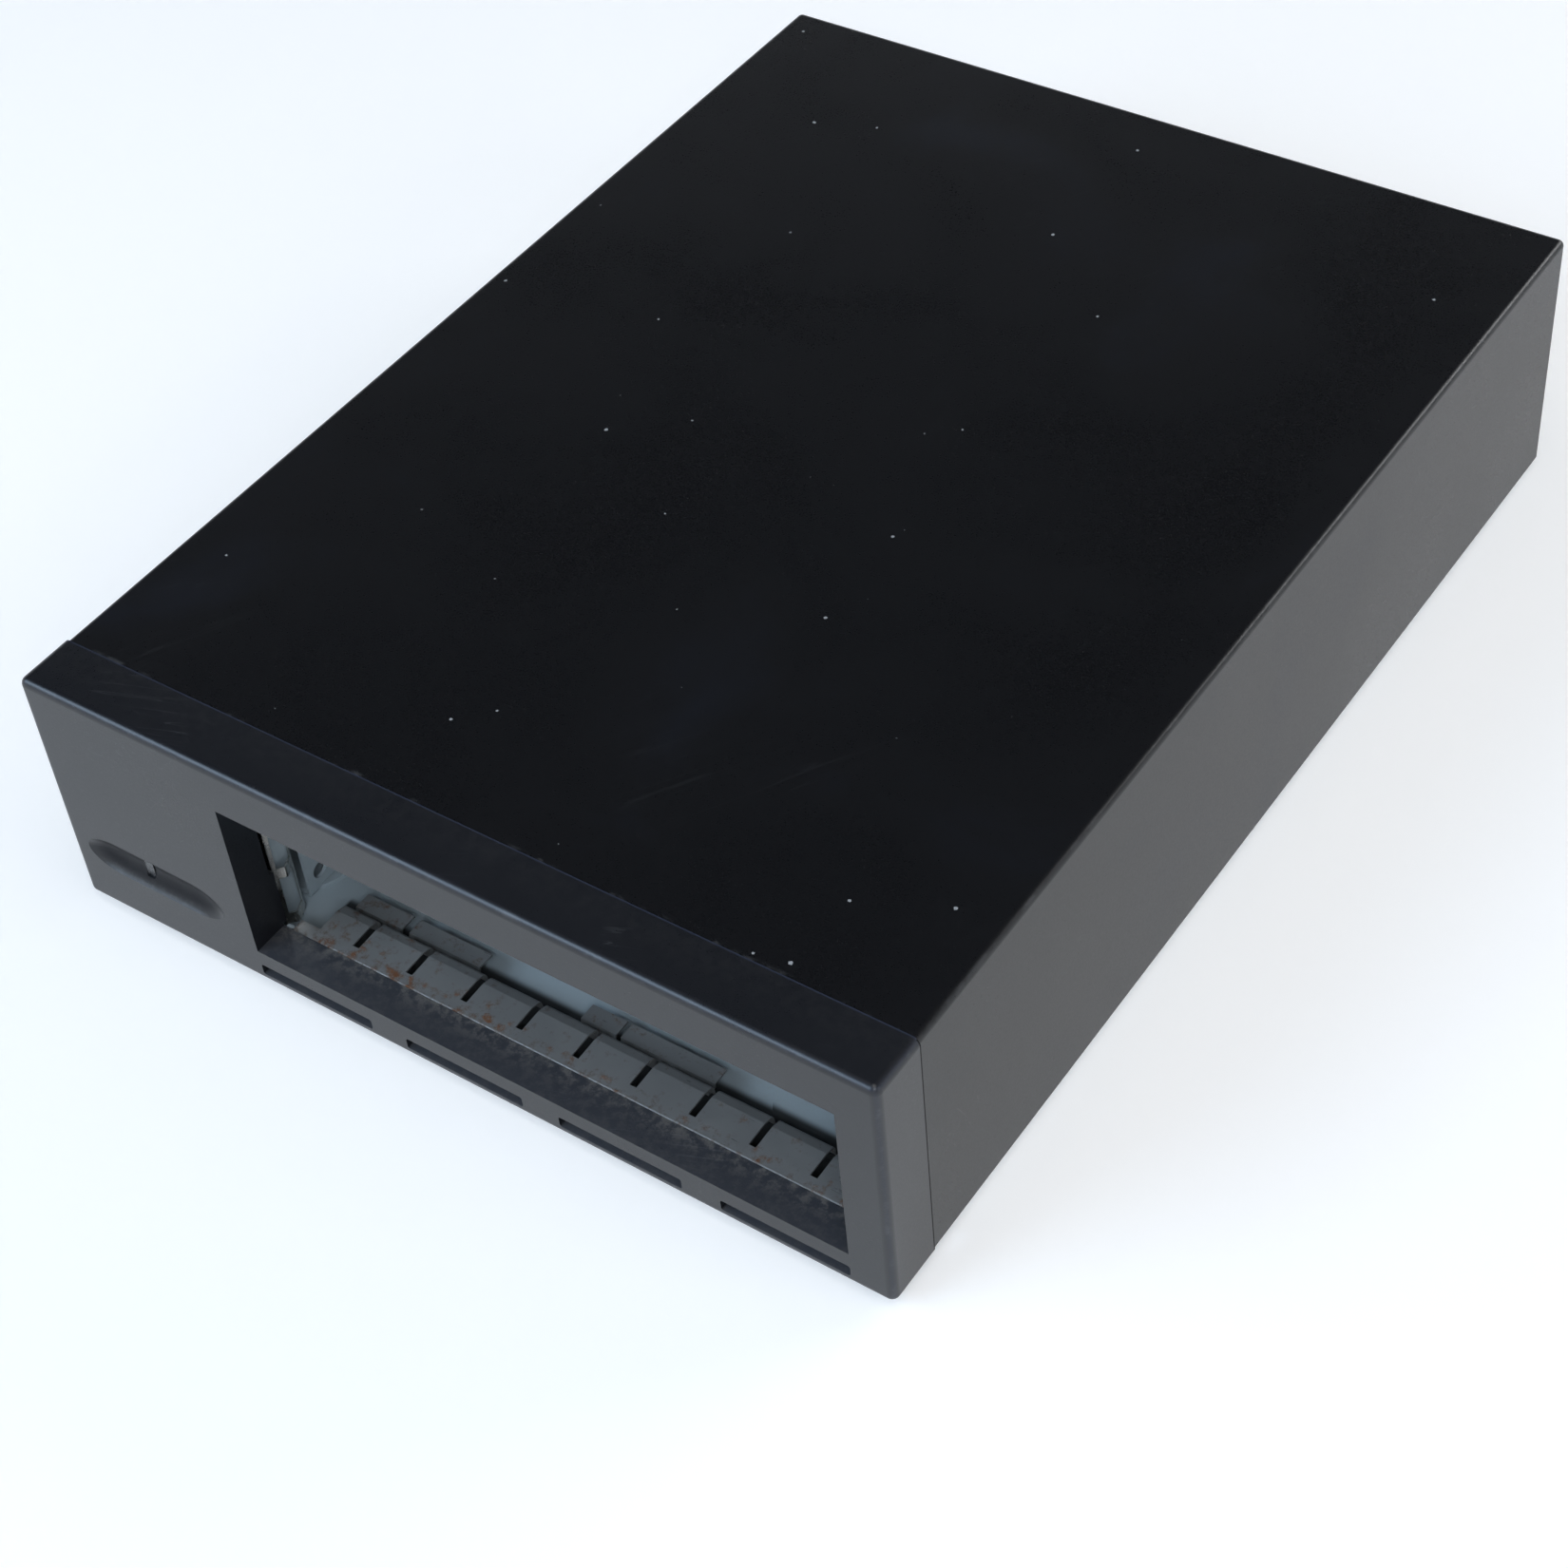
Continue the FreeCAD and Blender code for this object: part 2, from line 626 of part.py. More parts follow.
CAPACITOR_YS = [FUSE_Y - FUSE_L / 2 - PIECE_GAP - CAPACITOR_R - i * (2 * CAPACITOR_R + PIECE_GAP)
                for i in range(CAPACITORS)]
CAPACITORS_FRONT = CAPACITOR_YS[-1] - CAPACITOR_R
HEATSINK_FRONT = HEADER_Y + HEADER_L / 2 + PIECE_GAP
HEATSINK_L = (CAPACITORS_FRONT - HEATSINK_FRONT - 2 * PIECE_GAP) / 2
HEATSINK_YS = (HEATSINK_FRONT, CAPACITORS_FRONT)
HEATSINK_FOOT = BOARD_W - EDGE_MARGIN - 2 * max(CAPACITOR_R, CHOKE_R) - HEATSINK_INSET - HEATSINK_GAP
CHOKE_Y = HEATSINK_FRONT + HEATSINK_L / 2
TRANSFORMER_L = HEATSINK_L
TRANSFORMER_Y = CAPACITORS_FRONT - PIECE_GAP - TRANSFORMER_L / 2
BOARD_BOTTOM = FLOOR_TOP + STANDOFF_H
BOARD_TOP = BOARD_BOTTOM + BOARD_T
BOARD_CORNERS = [(x, y) for x in (BOARD_X0 + STANDOFF_INSET, BOARD_X0 + BOARD_W - STANDOFF_INSET)
                 for y in (BOARD_Y + STANDOFF_INSET, BOARD_Y + BOARD_L - STANDOFF_INSET)]
FAN_REAR = PANEL_INNER
FAN_FRONT = FAN_REAR - FAN_DEPTH
CUP_Y = FAN_REAR - HUB_RECESS - HUB_CUP_D


# ---- case ----
def top_cover():
    """U-shaped cover whose top and sides turn in at the rear."""
    front = BEZEL_D + SEAM
    outer = box(-COVER_HALF_W, COVER_HALF_W, front, CASE_D, COVER_BOTTOM, COVER_TOP)
    outer = fillet_where(outer, COVER_EDGE_R, lambda e: e.CenterOfMass.z > COVER_TOP - 1
                         and not (e.CenterOfMass.y < front + 1)
                         or is_along(e, Z_AXIS) and e.CenterOfMass.y > CASE_D - 1)
    inner_w = COVER_HALF_W - COVER_SHEET
    inner_rear = CASE_D - COVER_SHEET
    inner = box(-inner_w, inner_w, front - 1, inner_rear, COVER_BOTTOM - 1, COVER_INNER_TOP)
    inner = fillet_where(inner, COVER_EDGE_R - COVER_SHEET, lambda e: e.CenterOfMass.z > COVER_INNER_TOP - 1
                         and not (e.CenterOfMass.y < front)
                         or is_along(e, Z_AXIS) and e.CenterOfMass.y > inner_rear - 1)
    window_w = COVER_HALF_W - SIDE_FLANGE
    window_top = COVER_TOP - TOP_FLANGE
    window = box(-window_w, window_w, inner_rear - 0.01, CASE_D + 1, COVER_BOTTOM - 1, window_top)
    slits = []
    for side in (-1, 1):
        inset = SIDE_FLANGE - TOP_FLANGE
        slits.append(box(min(side * window_w, side * (window_w + inset)),
                         max(side * window_w, side * (window_w + inset)),
                         inner_rear - 0.01, CASE_D + 1, window_top - MITRE_GAP, window_top))
        corner = (side * (COVER_HALF_W - COVER_EDGE_R), COVER_TOP - COVER_EDGE_R)
        knee = (side * (window_w + inset), window_top)
        slits.append(outline([knee, corner, (corner[0], corner[1] - MITRE_GAP * 1.4),
                              (knee[0], knee[1] - MITRE_GAP * 1.4)],
                             xz(inner_rear - 0.01)).extrude(Y_AXIS * (COVER_SHEET + 1)))
    holes = [rod(COVER_SCREW_R + COVER_HOLE_PLAY, Vector(x, inner_rear - 1, z), 3, Y_AXIS)
             for x, z in COVER_SCREWS]
    return cut(outer, [inner, window] + slits + holes)


def chassis_base():
    """Floor with upturned sides, front lip, rear weld tabs and raised seats for the feet."""
    middle_z = FLOOR_BOTTOM + SHEET / 2
    side_x = CHASSIS_HALF_W - SHEET / 2
    start_y = BULKHEAD_Y + SHEET
    tab_start = PANEL_INNER - SHEET - CHASSIS_BEND_R
    tray_end = tab_start - TRAY_END_GAP
    tray = bent_sheet([(-side_x, FLOOR_TOP + SIDE_LIP_H), (-side_x, middle_z),
                       (side_x, middle_z), (side_x, FLOOR_TOP + SIDE_LIP_H)],
                      SHEET, CHASSIS_BEND_R, xz(start_y), Y_AXIS * (tray_end - start_y))
    half_front = CHASSIS_HALF_W - FRONT_RETREAT
    apron = box(-half_front, half_front, LIP_Y, start_y, FLOOR_BOTTOM, FLOOR_TOP)
    lip_y = LIP_Y + SHEET / 2
    lip = bent_sheet([(start_y, middle_z), (lip_y, middle_z), (lip_y, LIP_TOP)], SHEET, CHASSIS_BEND_R,
                     yz(BAY_X0), X_AXIS * BAY_W)
    apron = apron.cut(box(BAY_X0, BAY_X1, LIP_Y - 1, LIP_Y + CHASSIS_BEND_R + SHEET, 0, FLOOR_TOP + 1))
    tail = box(-half_front, half_front, tray_end, tab_start, FLOOR_BOTTOM, FLOOR_TOP)
    tab_y = PANEL_INNER - SHEET / 2
    gap = FAN_SIZE / 2 + FAN_TAB_GAP
    spans = ((1 - PANEL_STEP_X, FAN_X - gap), (FAN_X + gap, PANEL_STEP_X - 1))
    tabs = [bent_sheet([(tray_end - SHEET, middle_z), (tab_y, middle_z), (tab_y, FLOOR_TOP + WELD_TAB_H)],
                       SHEET, CHASSIS_BEND_R, yz(x0), X_AXIS * (x1 - x0)) for x0, x1 in spans]
    sill = box(FAN_X - gap, FAN_X + gap, tray_end, PANEL_INNER, FLOOR_BOTTOM, FLOOR_TOP)
    seats = [rod(DIMPLE_R + SHEET, Vector(x, y, FLOOR_BOTTOM), SHEET + FOOT_DIMPLE, Z_AXIS)
             for x, y in FOOT_CENTRES]
    body = fuse([tray, apron, lip, tail, sill] + tabs + seats)
    recesses = [rod(DIMPLE_R, Vector(x, y, FLOOR_BOTTOM - 1), 1 + FOOT_DIMPLE, Z_AXIS)
                for x, y in FOOT_CENTRES]
    vents = [box(x - VENT_W / 2, x + VENT_W / 2, LIP_Y - 1, LIP_Y + SHEET + 1,
                 FLOOR_TOP + CHASSIS_VENT_SILL, LIP_TOP - CHASSIS_VENT_HEAD) for x in vent_middles()]
    sinks = [turned(outline([(0, -0.01), (BRACKET_SCREW_HEAD + FIT, -0.01),
                             (BRACKET_SCREW_R + FIT, SHEET * 0.75), (BRACKET_SCREW_R + FIT, SHEET + 1),
                             (0, SHEET + 1)], lambda u, v, x=x, y=y: Vector(x + u, y, FLOOR_BOTTOM + v)),
                    Vector(x, y, 0), Z_AXIS) for x, y in BRACKET_SCREWS]
    return cut(body, recesses + vents + sinks)


def joggled_panel():
    """Panel sheet: middle flush with the cover's flanges, sides stepped in behind them."""
    outer_x = CHASSIS_HALF_W - SHEET - FIT
    step_x = PANEL_STEP_X
    near = PANEL_INNER + SHEET / 2
    far = near - COVER_SHEET - FIT
    run = 1.0
    z0, z1 = FLOOR_BOTTOM, PANEL_TOP
    points = [(-outer_x, far), (-step_x - run, far), (-step_x, near),
              (step_x, near), (step_x + run, far), (outer_x, far)]
    return bent_sheet(points, SHEET, SHEET * 0.75, xy(z0), Z_AXIS * (z1 - z0))


def ring_slots(radius, width):
    """Four arc-shaped slots with round ends, between the spokes."""
    centre = Vector(FAN_X, PANEL_INNER - 1, FAN_Z - GRILLE_DROP)
    slots = []
    gap = math.degrees((SPOKE_W / 2 + width / 2) / radius)
    for start, end in zip(SPOKE_ANGLES, SPOKE_ANGLES[1:] + (SPOKE_ANGLES[0] + 360,)):
        a, b = start + gap, end - gap

        def at(r, degrees):
            angle = math.radians(degrees)
            return centre + Vector(-r * math.cos(angle), 0, r * math.sin(angle))

        def cap(degrees, forward):
            spot = at(radius, degrees)
            lead = Vector(math.sin(math.radians(degrees)), 0, math.cos(math.radians(degrees))) * forward
            return spot + lead * (width / 2)

        inner, outer = radius - width / 2, radius + width / 2
        edges = [Part.Arc(at(outer, a), at(outer, (a + b) / 2), at(outer, b)),
                 Part.Arc(at(outer, b), cap(b, 1), at(inner, b)),
                 Part.Arc(at(inner, b), at(inner, (a + b) / 2), at(inner, a)),
                 Part.Arc(at(inner, a), cap(a, -1), at(outer, a))]
        wire = Part.Wire([edge.toShape() for edge in edges])
        slots.append(Part.Face(wire).extrude(Y_AXIS * (SHEET + 2)))
    return slots


def outer_slots():
    """The grille's outer slots: a larger circle set higher than the rings, so the top slot is widest."""
    depth = SHEET + 2
    y0 = PANEL_INNER - 1
    ring_z = FAN_Z - GRILLE_DROP
    disc = rod(GRILLE_OUTER_R, Vector(FAN_X, y0, FAN_Z - GRILLE_OUTER_DROP), depth, Y_AXIS)
    ring = disc.cut(rod(GRILLE_OUTER_INNER_R, Vector(FAN_X, y0 - 1, ring_z), depth + 2, Y_AXIS))
    spokes = []
    for angle in SPOKE_ANGLES:
        spoke = box(0, GRILLE_OUTER_R + 9, y0 - 1, y0 + depth + 1, -SPOKE_W / 2, SPOKE_W / 2)
        spoke.rotate(Vector(0, 0, 0), Y_AXIS, angle - 180)
        spoke.translate(Vector(FAN_X, 0, ring_z))
        spokes.append(spoke)
    return ring.cut(spokes).Solids


def knockout_lines():
    """Outline of an unused nine-pin port, cut through but for small joints."""
    x, z = PORT_X - KNOCKOUT_FROM_PORT, FOOT_GAP + KNOCKOUT_Z
    y0 = PANEL_INNER - 1
    depth = SHEET + 2

    def form(shrink):
        half_w, half_h = KNOCKOUT_W / 2 - shrink, KNOCKOUT_H / 2 - shrink
        ear, ear_h = KNOCKOUT_EAR - shrink, KNOCKOUT_EAR_H / 2 - shrink
        body = box(x - half_w, x + half_w, y0, y0 + depth, z - half_h, z + half_h)
        bevelled = body.makeChamfer(KNOCKOUT_BEVEL, [e for e in body.Edges if is_along(e, Y_AXIS)])
        return bevelled.fuse(box(x - ear, x + ear, y0, y0 + depth, z - ear_h, z + ear_h))

    lines = form(0).cut(form(KNOCKOUT_LINE))
    half = KNOCKOUT_JOINT / 2
    joints = [box(x + sx * KNOCKOUT_W * 0.3 - half, x + sx * KNOCKOUT_W * 0.3 + half, y0 - 1, CASE_D + 2,
                  z - KNOCKOUT_H, z + KNOCKOUT_H) for sx in (-1, 1)]
    joints += [box(x + sx * (KNOCKOUT_EAR - 3) - half, x + sx * (KNOCKOUT_EAR - 3) + half,
                   y0 - 1, CASE_D + 2, z, z + KNOCKOUT_H) for sx in (-1, 1)]
    return lines.cut(joints)


def port_centres():
    return [(name, PORT_X, z) for name, z in zip(PORT_NAMES, PORT_ZS)]


def rear_panel():
    y0 = PANEL_INNER - 1
    depth = Y_AXIS * (SHEET + 2)

    stiffener = box(FAN_X + FAN_SIZE / 2 + 4, PANEL_STEP_X - 4,
                    PANEL_INNER - PANEL_RETURN, PANEL_INNER + 0.01, PANEL_TOP - SHEET, PANEL_TOP)
    panel = fuse([joggled_panel(), stiffener])
    windows = []
    for x, z, width, height in ((INLET_X, INLET_MID_Z, INLET_BODY_W, INLET_BODY_H),
                                (SWITCH_X, SWITCH_MID_Z, SWITCH_BODY_W, SWITCH_BODY_H),
                                (ID_X, ID_MID_Z, ID_BODY_W, ID_BODY_H)):
        half_w, half_h = width / 2 + FIT, height / 2 + FIT
        windows.append(box(x - half_w, x + half_w, y0, CASE_D + 1, z - half_h, z + half_h))
    holes = [rod(FAN_SCREW_R + COVER_HOLE_PLAY, Vector(x, y0, z), SHEET + 2, Y_AXIS) for x, z in FAN_CORNERS]
    for _, x, z in port_centres():
        windows.append(rounded_block(x - PORT_CUT_W / 2, x + PORT_CUT_W / 2, z - PORT_CUT_H / 2,
                                     z + PORT_CUT_H / 2, PORT_CUT_R, xz(y0), depth))
        holes += [rod(JACK_THREAD_R + FIT, Vector(x + side * JACK_PITCH / 2, y0, z), SHEET + 2, Y_AXIS)
                  for side in (-1, 1)]
    holes.append(rod(SPARE_HOLE_R, Vector(PORT_X - SPARE_HOLE_FROM_PORT, y0, PORT_ZS[0] + SPARE_HOLE_RISE),
                     SHEET + 2, Y_AXIS))
    holes += [rod(COVER_SCREW_R + FIT, Vector(x, y0 - 2, z), SHEET + 4, Y_AXIS) for x, z in COVER_SCREWS]
    middle_ring = GRILLE_DISC_R + RING_SLOT + RING_WEB
    slots = ring_slots(GRILLE_DISC_R + RING_SLOT / 2, RING_SLOT) + ring_slots(middle_ring + RING_SLOT / 2,
                                                                              RING_SLOT)
    return cut(panel, windows + holes + slots + outer_slots() + [knockout_lines()])


def rubber_foot(x, y):
    foot = rod(FOOT_R, Vector(x, y, 0), FLOOR_BOTTOM + FOOT_DIMPLE, Z_AXIS)
    return chamfer_rim(foot, FOOT_EDGE, lambda e: e.CenterOfMass.z < FOOT_GAP / 2)


# ---- bezel ----
def vent_middles():
    pitch = (BAY_W - VENT_W) / (VENTS - 1)
    return [BAY_X0 + VENT_W / 2 + i * pitch for i in range(VENTS)]


def groove_form():
    """Boat-shaped scoop: a long round bar with tapering ends, set in from the front."""
    half_h = GROOVE_H / 2
    radius = (half_h ** 2 + GROOVE_DEPTH ** 2) / (2 * GROOVE_DEPTH)
    axis_y = GROOVE_DEPTH - radius
    visible_nose = GROOVE_NOSE * math.sqrt(1 - (axis_y / radius) ** 2)
    straight = GROOVE_L - 2 * visible_nose
    x0 = LEFT + GROOVE_LEFT + visible_nose
    x1 = x0 + straight
    z = FOOT_GAP + GROOVE_SILL + half_h

    def at(u, v):
        return Vector(u, axis_y + v, z)

    def nose(x, sign):
        curve = [at(x + sign * GROOVE_NOSE * math.sin(math.radians(t)), radius * math.cos(math.radians(t)))
                 for t in (0, 15, 30, 45, 60, 75, 90)]
        spline = Part.BSplineCurve()
        spline.interpolate(curve)
        return spline.toShape(), curve[-1]

    left_arc, left_tip = nose(x0, -1)
    right_arc, right_tip = nose(x1, 1)
    edges = [left_arc, Part.LineSegment(at(x0, radius), at(x1, radius)).toShape(), right_arc,
             Part.LineSegment(right_tip, left_tip).toShape()]
    face = Part.Face(Part.Wire(Part.__sortEdges__(edges)))
    return face.revolve(Vector(0, axis_y, z), X_AXIS, 360)


def lens_place():
    return LEFT + LENS_FROM_LEFT, FOOT_GAP + GROOVE_SILL + GROOVE_H / 2 - 0.3


def snap_hook(x, z):
    """Arm from the back of the front plate through the bulkhead, with a barb behind it."""
    behind = BULKHEAD_Y + SHEET + FIT
    profile = outline([(PLATE - 0.01, z - HOOK_T / 2), (behind + HOOK_BARB_L, z - HOOK_T / 2),
                       (behind + HOOK_BARB_L, z + HOOK_T / 2), (behind, z + HOOK_T / 2 + HOOK_BARB),
                       (behind, z + HOOK_T / 2), (PLATE - 0.01, z + HOOK_T / 2)], yz(x - HOOK_W / 2))
    return profile.extrude(X_AXIS * HOOK_W)


def front_bezel():
    half = CASE_W / 2
    outer = box(-half, half, 0, BEZEL_D, FOOT_GAP, BEZEL_TOP)
    outer = fillet_where(outer, BEZEL_EDGE_R, lambda e: e.CenterOfMass.y < BEZEL_D - 0.1)
    cavity = box(-half + RIM, half - RIM, PLATE, BEZEL_D + 1, FOOT_GAP + RIM, BEZEL_TOP - RIM)
    under = box(-half + RIM, half - RIM, TUNNEL_D, BEZEL_D + 1, FOOT_GAP - 1, FOOT_GAP + RIM + 0.01)
    shell = cut(outer, [cavity, under])
    tunnel = box(BAY_X0 - TUNNEL_WALL, BAY_X1 + TUNNEL_WALL, PLATE - 0.01, TUNNEL_D,
                 BAY_Z0 - TUNNEL_WALL, BAY_Z1 + TUNNEL_WALL)
    rib = box(BAY_X0 - TUNNEL_WALL, BAY_X0, TUNNEL_D - 0.01, TUNNEL_D + JAMB_RIB_D,
              FOOT_GAP + JAMB_RIB_LOW, FOOT_GAP + JAMB_RIB_HIGH)
    groove_x = LEFT + GROOVE_LEFT + GROOVE_L / 2
    groove_z = FOOT_GAP + GROOVE_SILL + GROOVE_H / 2
    backing = rounded_block(groove_x - GROOVE_L / 2, groove_x + GROOVE_L / 2,
                            groove_z - GROOVE_H / 2 - 1, groove_z + GROOVE_H / 2 + 1, GROOVE_H / 2,
                            xz(PLATE - 0.01), Y_AXIS * (GROOVE_DEPTH + GROOVE_BACKING - PLATE))
    hooks = [snap_hook(x, z) for x, z in HOOKS]
    body = fuse([shell, tunnel, rib, backing] + hooks)
    bay = box(BAY_X0, BAY_X1, -1, TUNNEL_D + 1, BAY_Z0, BAY_Z1)
    vents = [rounded_block(x - VENT_W / 2, x + VENT_W / 2, FOOT_GAP + VENT_SILL,
                           FOOT_GAP + VENT_SILL + VENT_H, 0.6, xz(-1), Y_AXIS * (PLATE + 2))
             for x in vent_middles()]
    lens_x, lens_z = lens_place()
    lens_hole = rounded_block(lens_x - LENS_W / 2 - FIT, lens_x + LENS_W / 2 + FIT,
                              lens_z - LENS_H / 2 - FIT, lens_z + LENS_H / 2 + FIT, 0.5,
                              xz(-1), Y_AXIS * (GROOVE_DEPTH + GROOVE_BACKING + 2))
    return cut(body, [bay, groove_form(), lens_hole] + vents)


def led_lens():
    """Clear light pipe through the groove, with a socket for the lamp in its base."""
    x, z = lens_place()
    face_y = GROOVE_DEPTH - LENS_PROUD
    back_y = GROOVE_DEPTH + GROOVE_BACKING
    pipe = rounded_block(x - LENS_W / 2, x + LENS_W / 2, z - LENS_H / 2, z + LENS_H / 2, 0.5,
                         xz(face_y), Y_AXIS * (back_y - face_y + 0.01))
    base = rounded_block(x - LENS_W / 2 - LENS_BASE, x + LENS_W / 2 + LENS_BASE,
                         z - LENS_H / 2 - LENS_BASE, z + LENS_H / 2 + LENS_BASE, 0.8,
                         xz(back_y), Y_AXIS * (LENS_L - (back_y - face_y)))
    end_y = face_y + LENS_L
    socket = rod(LAMP_R + FIT / 2, Vector(x, end_y - LAMP_SOCKET, z), LAMP_SOCKET + 1, Y_AXIS)
    return fuse([pipe, base]).cut(socket)


def power_led():
    x, z = lens_place()
    socket_y = GROOVE_DEPTH - LENS_PROUD + LENS_L - LAMP_SOCKET
    nose_y = socket_y + LAMP_R
    dome = Part.makeSphere(LAMP_R, Vector(x, nose_y, z))
    can = rod(LAMP_R, Vector(x, nose_y, z), LAMP_L - LAMP_R, Y_AXIS)
    rim = rod(LAMP_R + LAMP_RIM, Vector(x, nose_y + LAMP_L - LAMP_R - 1, z), 1, Y_AXIS)
    return fuse([dome, can, rim])


# ---- sheet metal behind the bezel ----
def front_bulkhead():
    """Frame behind the bezel: its left flange turns forward and carries the side spring."""
    middle_y = BULKHEAD_Y + SHEET / 2
    height = BULKHEAD_TOP - FLOOR_TOP
    left = bent_sheet([(BULKHEAD_X0, middle_y), (DIVIDER_X, middle_y),
                       (DIVIDER_X, BULKHEAD_Y - BULKHEAD_LUG)],
                      SHEET, CHASSIS_BEND_R, xy(FLOOR_TOP), Z_AXIS * height)
    strap = box(DIVIDER_X - 3, BULKHEAD_X1, BULKHEAD_Y, BULKHEAD_Y + SHEET, STRAP_BOTTOM, BULKHEAD_TOP)
    right = box(STRAP_RIGHT, BULKHEAD_X1, BULKHEAD_Y, BULKHEAD_Y + SHEET, FLOOR_TOP + SHEET, BULKHEAD_TOP)
    foot_z = FLOOR_TOP + SHEET / 2
    foot_x0 = BULKHEAD_X0 + 4
    foot_x1 = FOOT_CENTRES[0][0] - DIMPLE_R - SHEET - 1
    feet = [bent_sheet([(middle_y + BULKHEAD_FOOT, foot_z), (middle_y, foot_z),
                        (middle_y, foot_z + 4)], SHEET, CHASSIS_BEND_R, yz(x0), X_AXIS * (x1 - x0))
            for x0, x1 in ((foot_x0, foot_x1), (STRAP_RIGHT, BULKHEAD_X1))]
    clearing = box(foot_x0, foot_x1, BULKHEAD_Y - 1, BULKHEAD_Y + 2, FLOOR_TOP - 1, foot_z + 3)
    slots = [box(x - HOOK_W / 2 - FIT, x + HOOK_W / 2 + FIT, BULKHEAD_Y - 1, BULKHEAD_Y + SHEET + 1,
                 z - HOOK_T / 2 - FIT, z + HOOK_T / 2 + HOOK_BARB + 2 * FIT) for x, z in HOOKS]
    return cut(fuse([left.cut(clearing), strap, right] + feet), slots)


def seat_reliefs():
    """Room round the raised seats of the feet, for what is screwed to the floor beside them."""
    return [rod(DIMPLE_R + SHEET + FIT, Vector(x, y, FLOOR_TOP - 1), 1 + SHEET * 2, Z_AXIS)
            for x, y in FOOT_CENTRES]


def psu_divider():
    """Wall between the bay and the power supply, its foot turned under the supply."""
    foot_z = FLOOR_TOP + SHEET / 2
    top = COVER_INNER_TOP - DIVIDER_TOP_GAP
    rear = PANEL_INNER - SHEET - DIVIDER_END_GAP
    wall = bent_sheet([(DIVIDER_X - DIVIDER_FOOT, foot_z), (DIVIDER_X, foot_z), (DIVIDER_X, top)],
                      SHEET, CHASSIS_BEND_R, xz(DIVIDER_Y), Y_AXIS * (rear - DIVIDER_Y))
    front_foot = box(DIVIDER_X - DIVIDER_FOOT - 1, DIVIDER_X - 2, DIVIDER_Y - 1,
                     BULKHEAD_Y + BULKHEAD_FOOT + SHEET + 1, FLOOR_TOP - 1, FLOOR_TOP + 2)
    hole = rod(DIVIDER_HOLE_R, Vector(DIVIDER_X - 1, DIVIDER_Y + DIVIDER_HOLE_INSET,
                                      FLOOR_TOP + DIVIDER_HOLE_H), 2, X_AXIS)
    half = CABLE_NOTCH_W / 2
    notch = rounded_block(CABLE_NOTCH_Y - half, CABLE_NOTCH_Y + half, top - CABLE_NOTCH_H,
                          top + CABLE_NOTCH_H, CABLE_NOTCH_R, yz(DIVIDER_X - 1), X_AXIS * 2)
    return cut(wall, seat_reliefs() + [front_foot, hole, notch])


def emi_strip_bottom():
    """Sprung earthing strip hooked over the chassis lip, its rear edge cut into fingers."""
    y0 = LIP_Y - FIT - STRIP_T / 2
    table_z = LIP_TOP + STRIP_SEAT + STRIP_T / 2
    x0 = BAY_X0 + STRIP_LEFT_INSET
    x1 = BAY_X1 - STRIP_RIGHT_INSET
    table_end = y0 + STRIP_TABLE
    crest_end = table_end + STRIP_CREST
    profile = [(y0, table_z - STRIP_DROP), (y0, table_z), (table_end, table_z + 0.4),
               (crest_end, table_z - 0.3), (crest_end + 0.4, table_z - STRIP_DROP)]
    strip = bent_sheet(profile, STRIP_T, STRIP_BENDS, yz(x0), X_AXIS * (x1 - x0))
    foot_y = crest_end + 0.4
    foot_z = table_z - STRIP_DROP
    floor_z = foot_z - RETAINER_STEP
    tabs = [bent_sheet([(foot_y, foot_z + 0.4), (foot_y, floor_z), (foot_y + 2.0, floor_z),
                        (foot_y + 2.3, floor_z + RETAINER_RISE),
                        (foot_y + 2.3 + RETAINER_L, floor_z + RETAINER_RISE)],
                       STRIP_T, RETAINER_BEND, yz(BAY_X0 + a), X_AXIS * (b - a)) for a, b in RETAINERS]
    body = fuse([strip] + tabs)
    count = int((x1 - BAY_X0 - FINGER_FIRST) / FINGER_PITCH) + 1
    slots = []
    for i in range(count):
        x = BAY_X0 + FINGER_FIRST + i * FINGER_PITCH
        slots.append(box(x - FINGER_SLOT / 2, x + FINGER_SLOT / 2, FINGER_SLOT_Y, foot_y + 0.5,
                         foot_z - 0.01, table_z + 3))
    corner = box(x0 - 1, BAY_X0 + HALF_FINGER - 1.4, FINGER_SLOT_Y, foot_y + 8, 0, table_z + 3)
    return cut(body, slots + [corner])


def emi_strip_left():
    """Ladder-shaped spring clipped over the bulkhead's forward flange."""
    inner_x = DIVIDER_X - SHEET / 2 - SPRING_GAP - SPRING_T / 2
    outer_x = DIVIDER_X + SHEET / 2 + SPRING_GAP + SPRING_T / 2
    front_y = BULKHEAD_Y - BULKHEAD_LUG - SPRING_GAP - SPRING_T / 2
    profile = [(inner_x, BULKHEAD_Y - 1.8), (inner_x, front_y), (outer_x, front_y),
               (outer_x + SPRING_BULGE, front_y + 2.4), (outer_x + 0.4, BULKHEAD_Y - 0.4)]
    z0, z1 = FOOT_GAP + SPRING_LOW, FOOT_GAP + SPRING_HIGH
    strip = bent_sheet(profile, SPRING_T, SPRING_T * 0.75, xy(z0), Z_AXIS * (z1 - z0))
    window_h = (z1 - z0 - (SPRING_BARS + 1) * SPRING_BAR_H) / SPRING_BARS
    windows = []
    for i in range(SPRING_BARS):
        low = z0 + SPRING_BAR_H + i * (window_h + SPRING_BAR_H)
        windows.append(box(outer_x + 0.2, outer_x + SPRING_BULGE + 2, front_y + 0.8, BULKHEAD_Y - 0.9,
                           low, low + window_h))
    return cut(strip, windows)


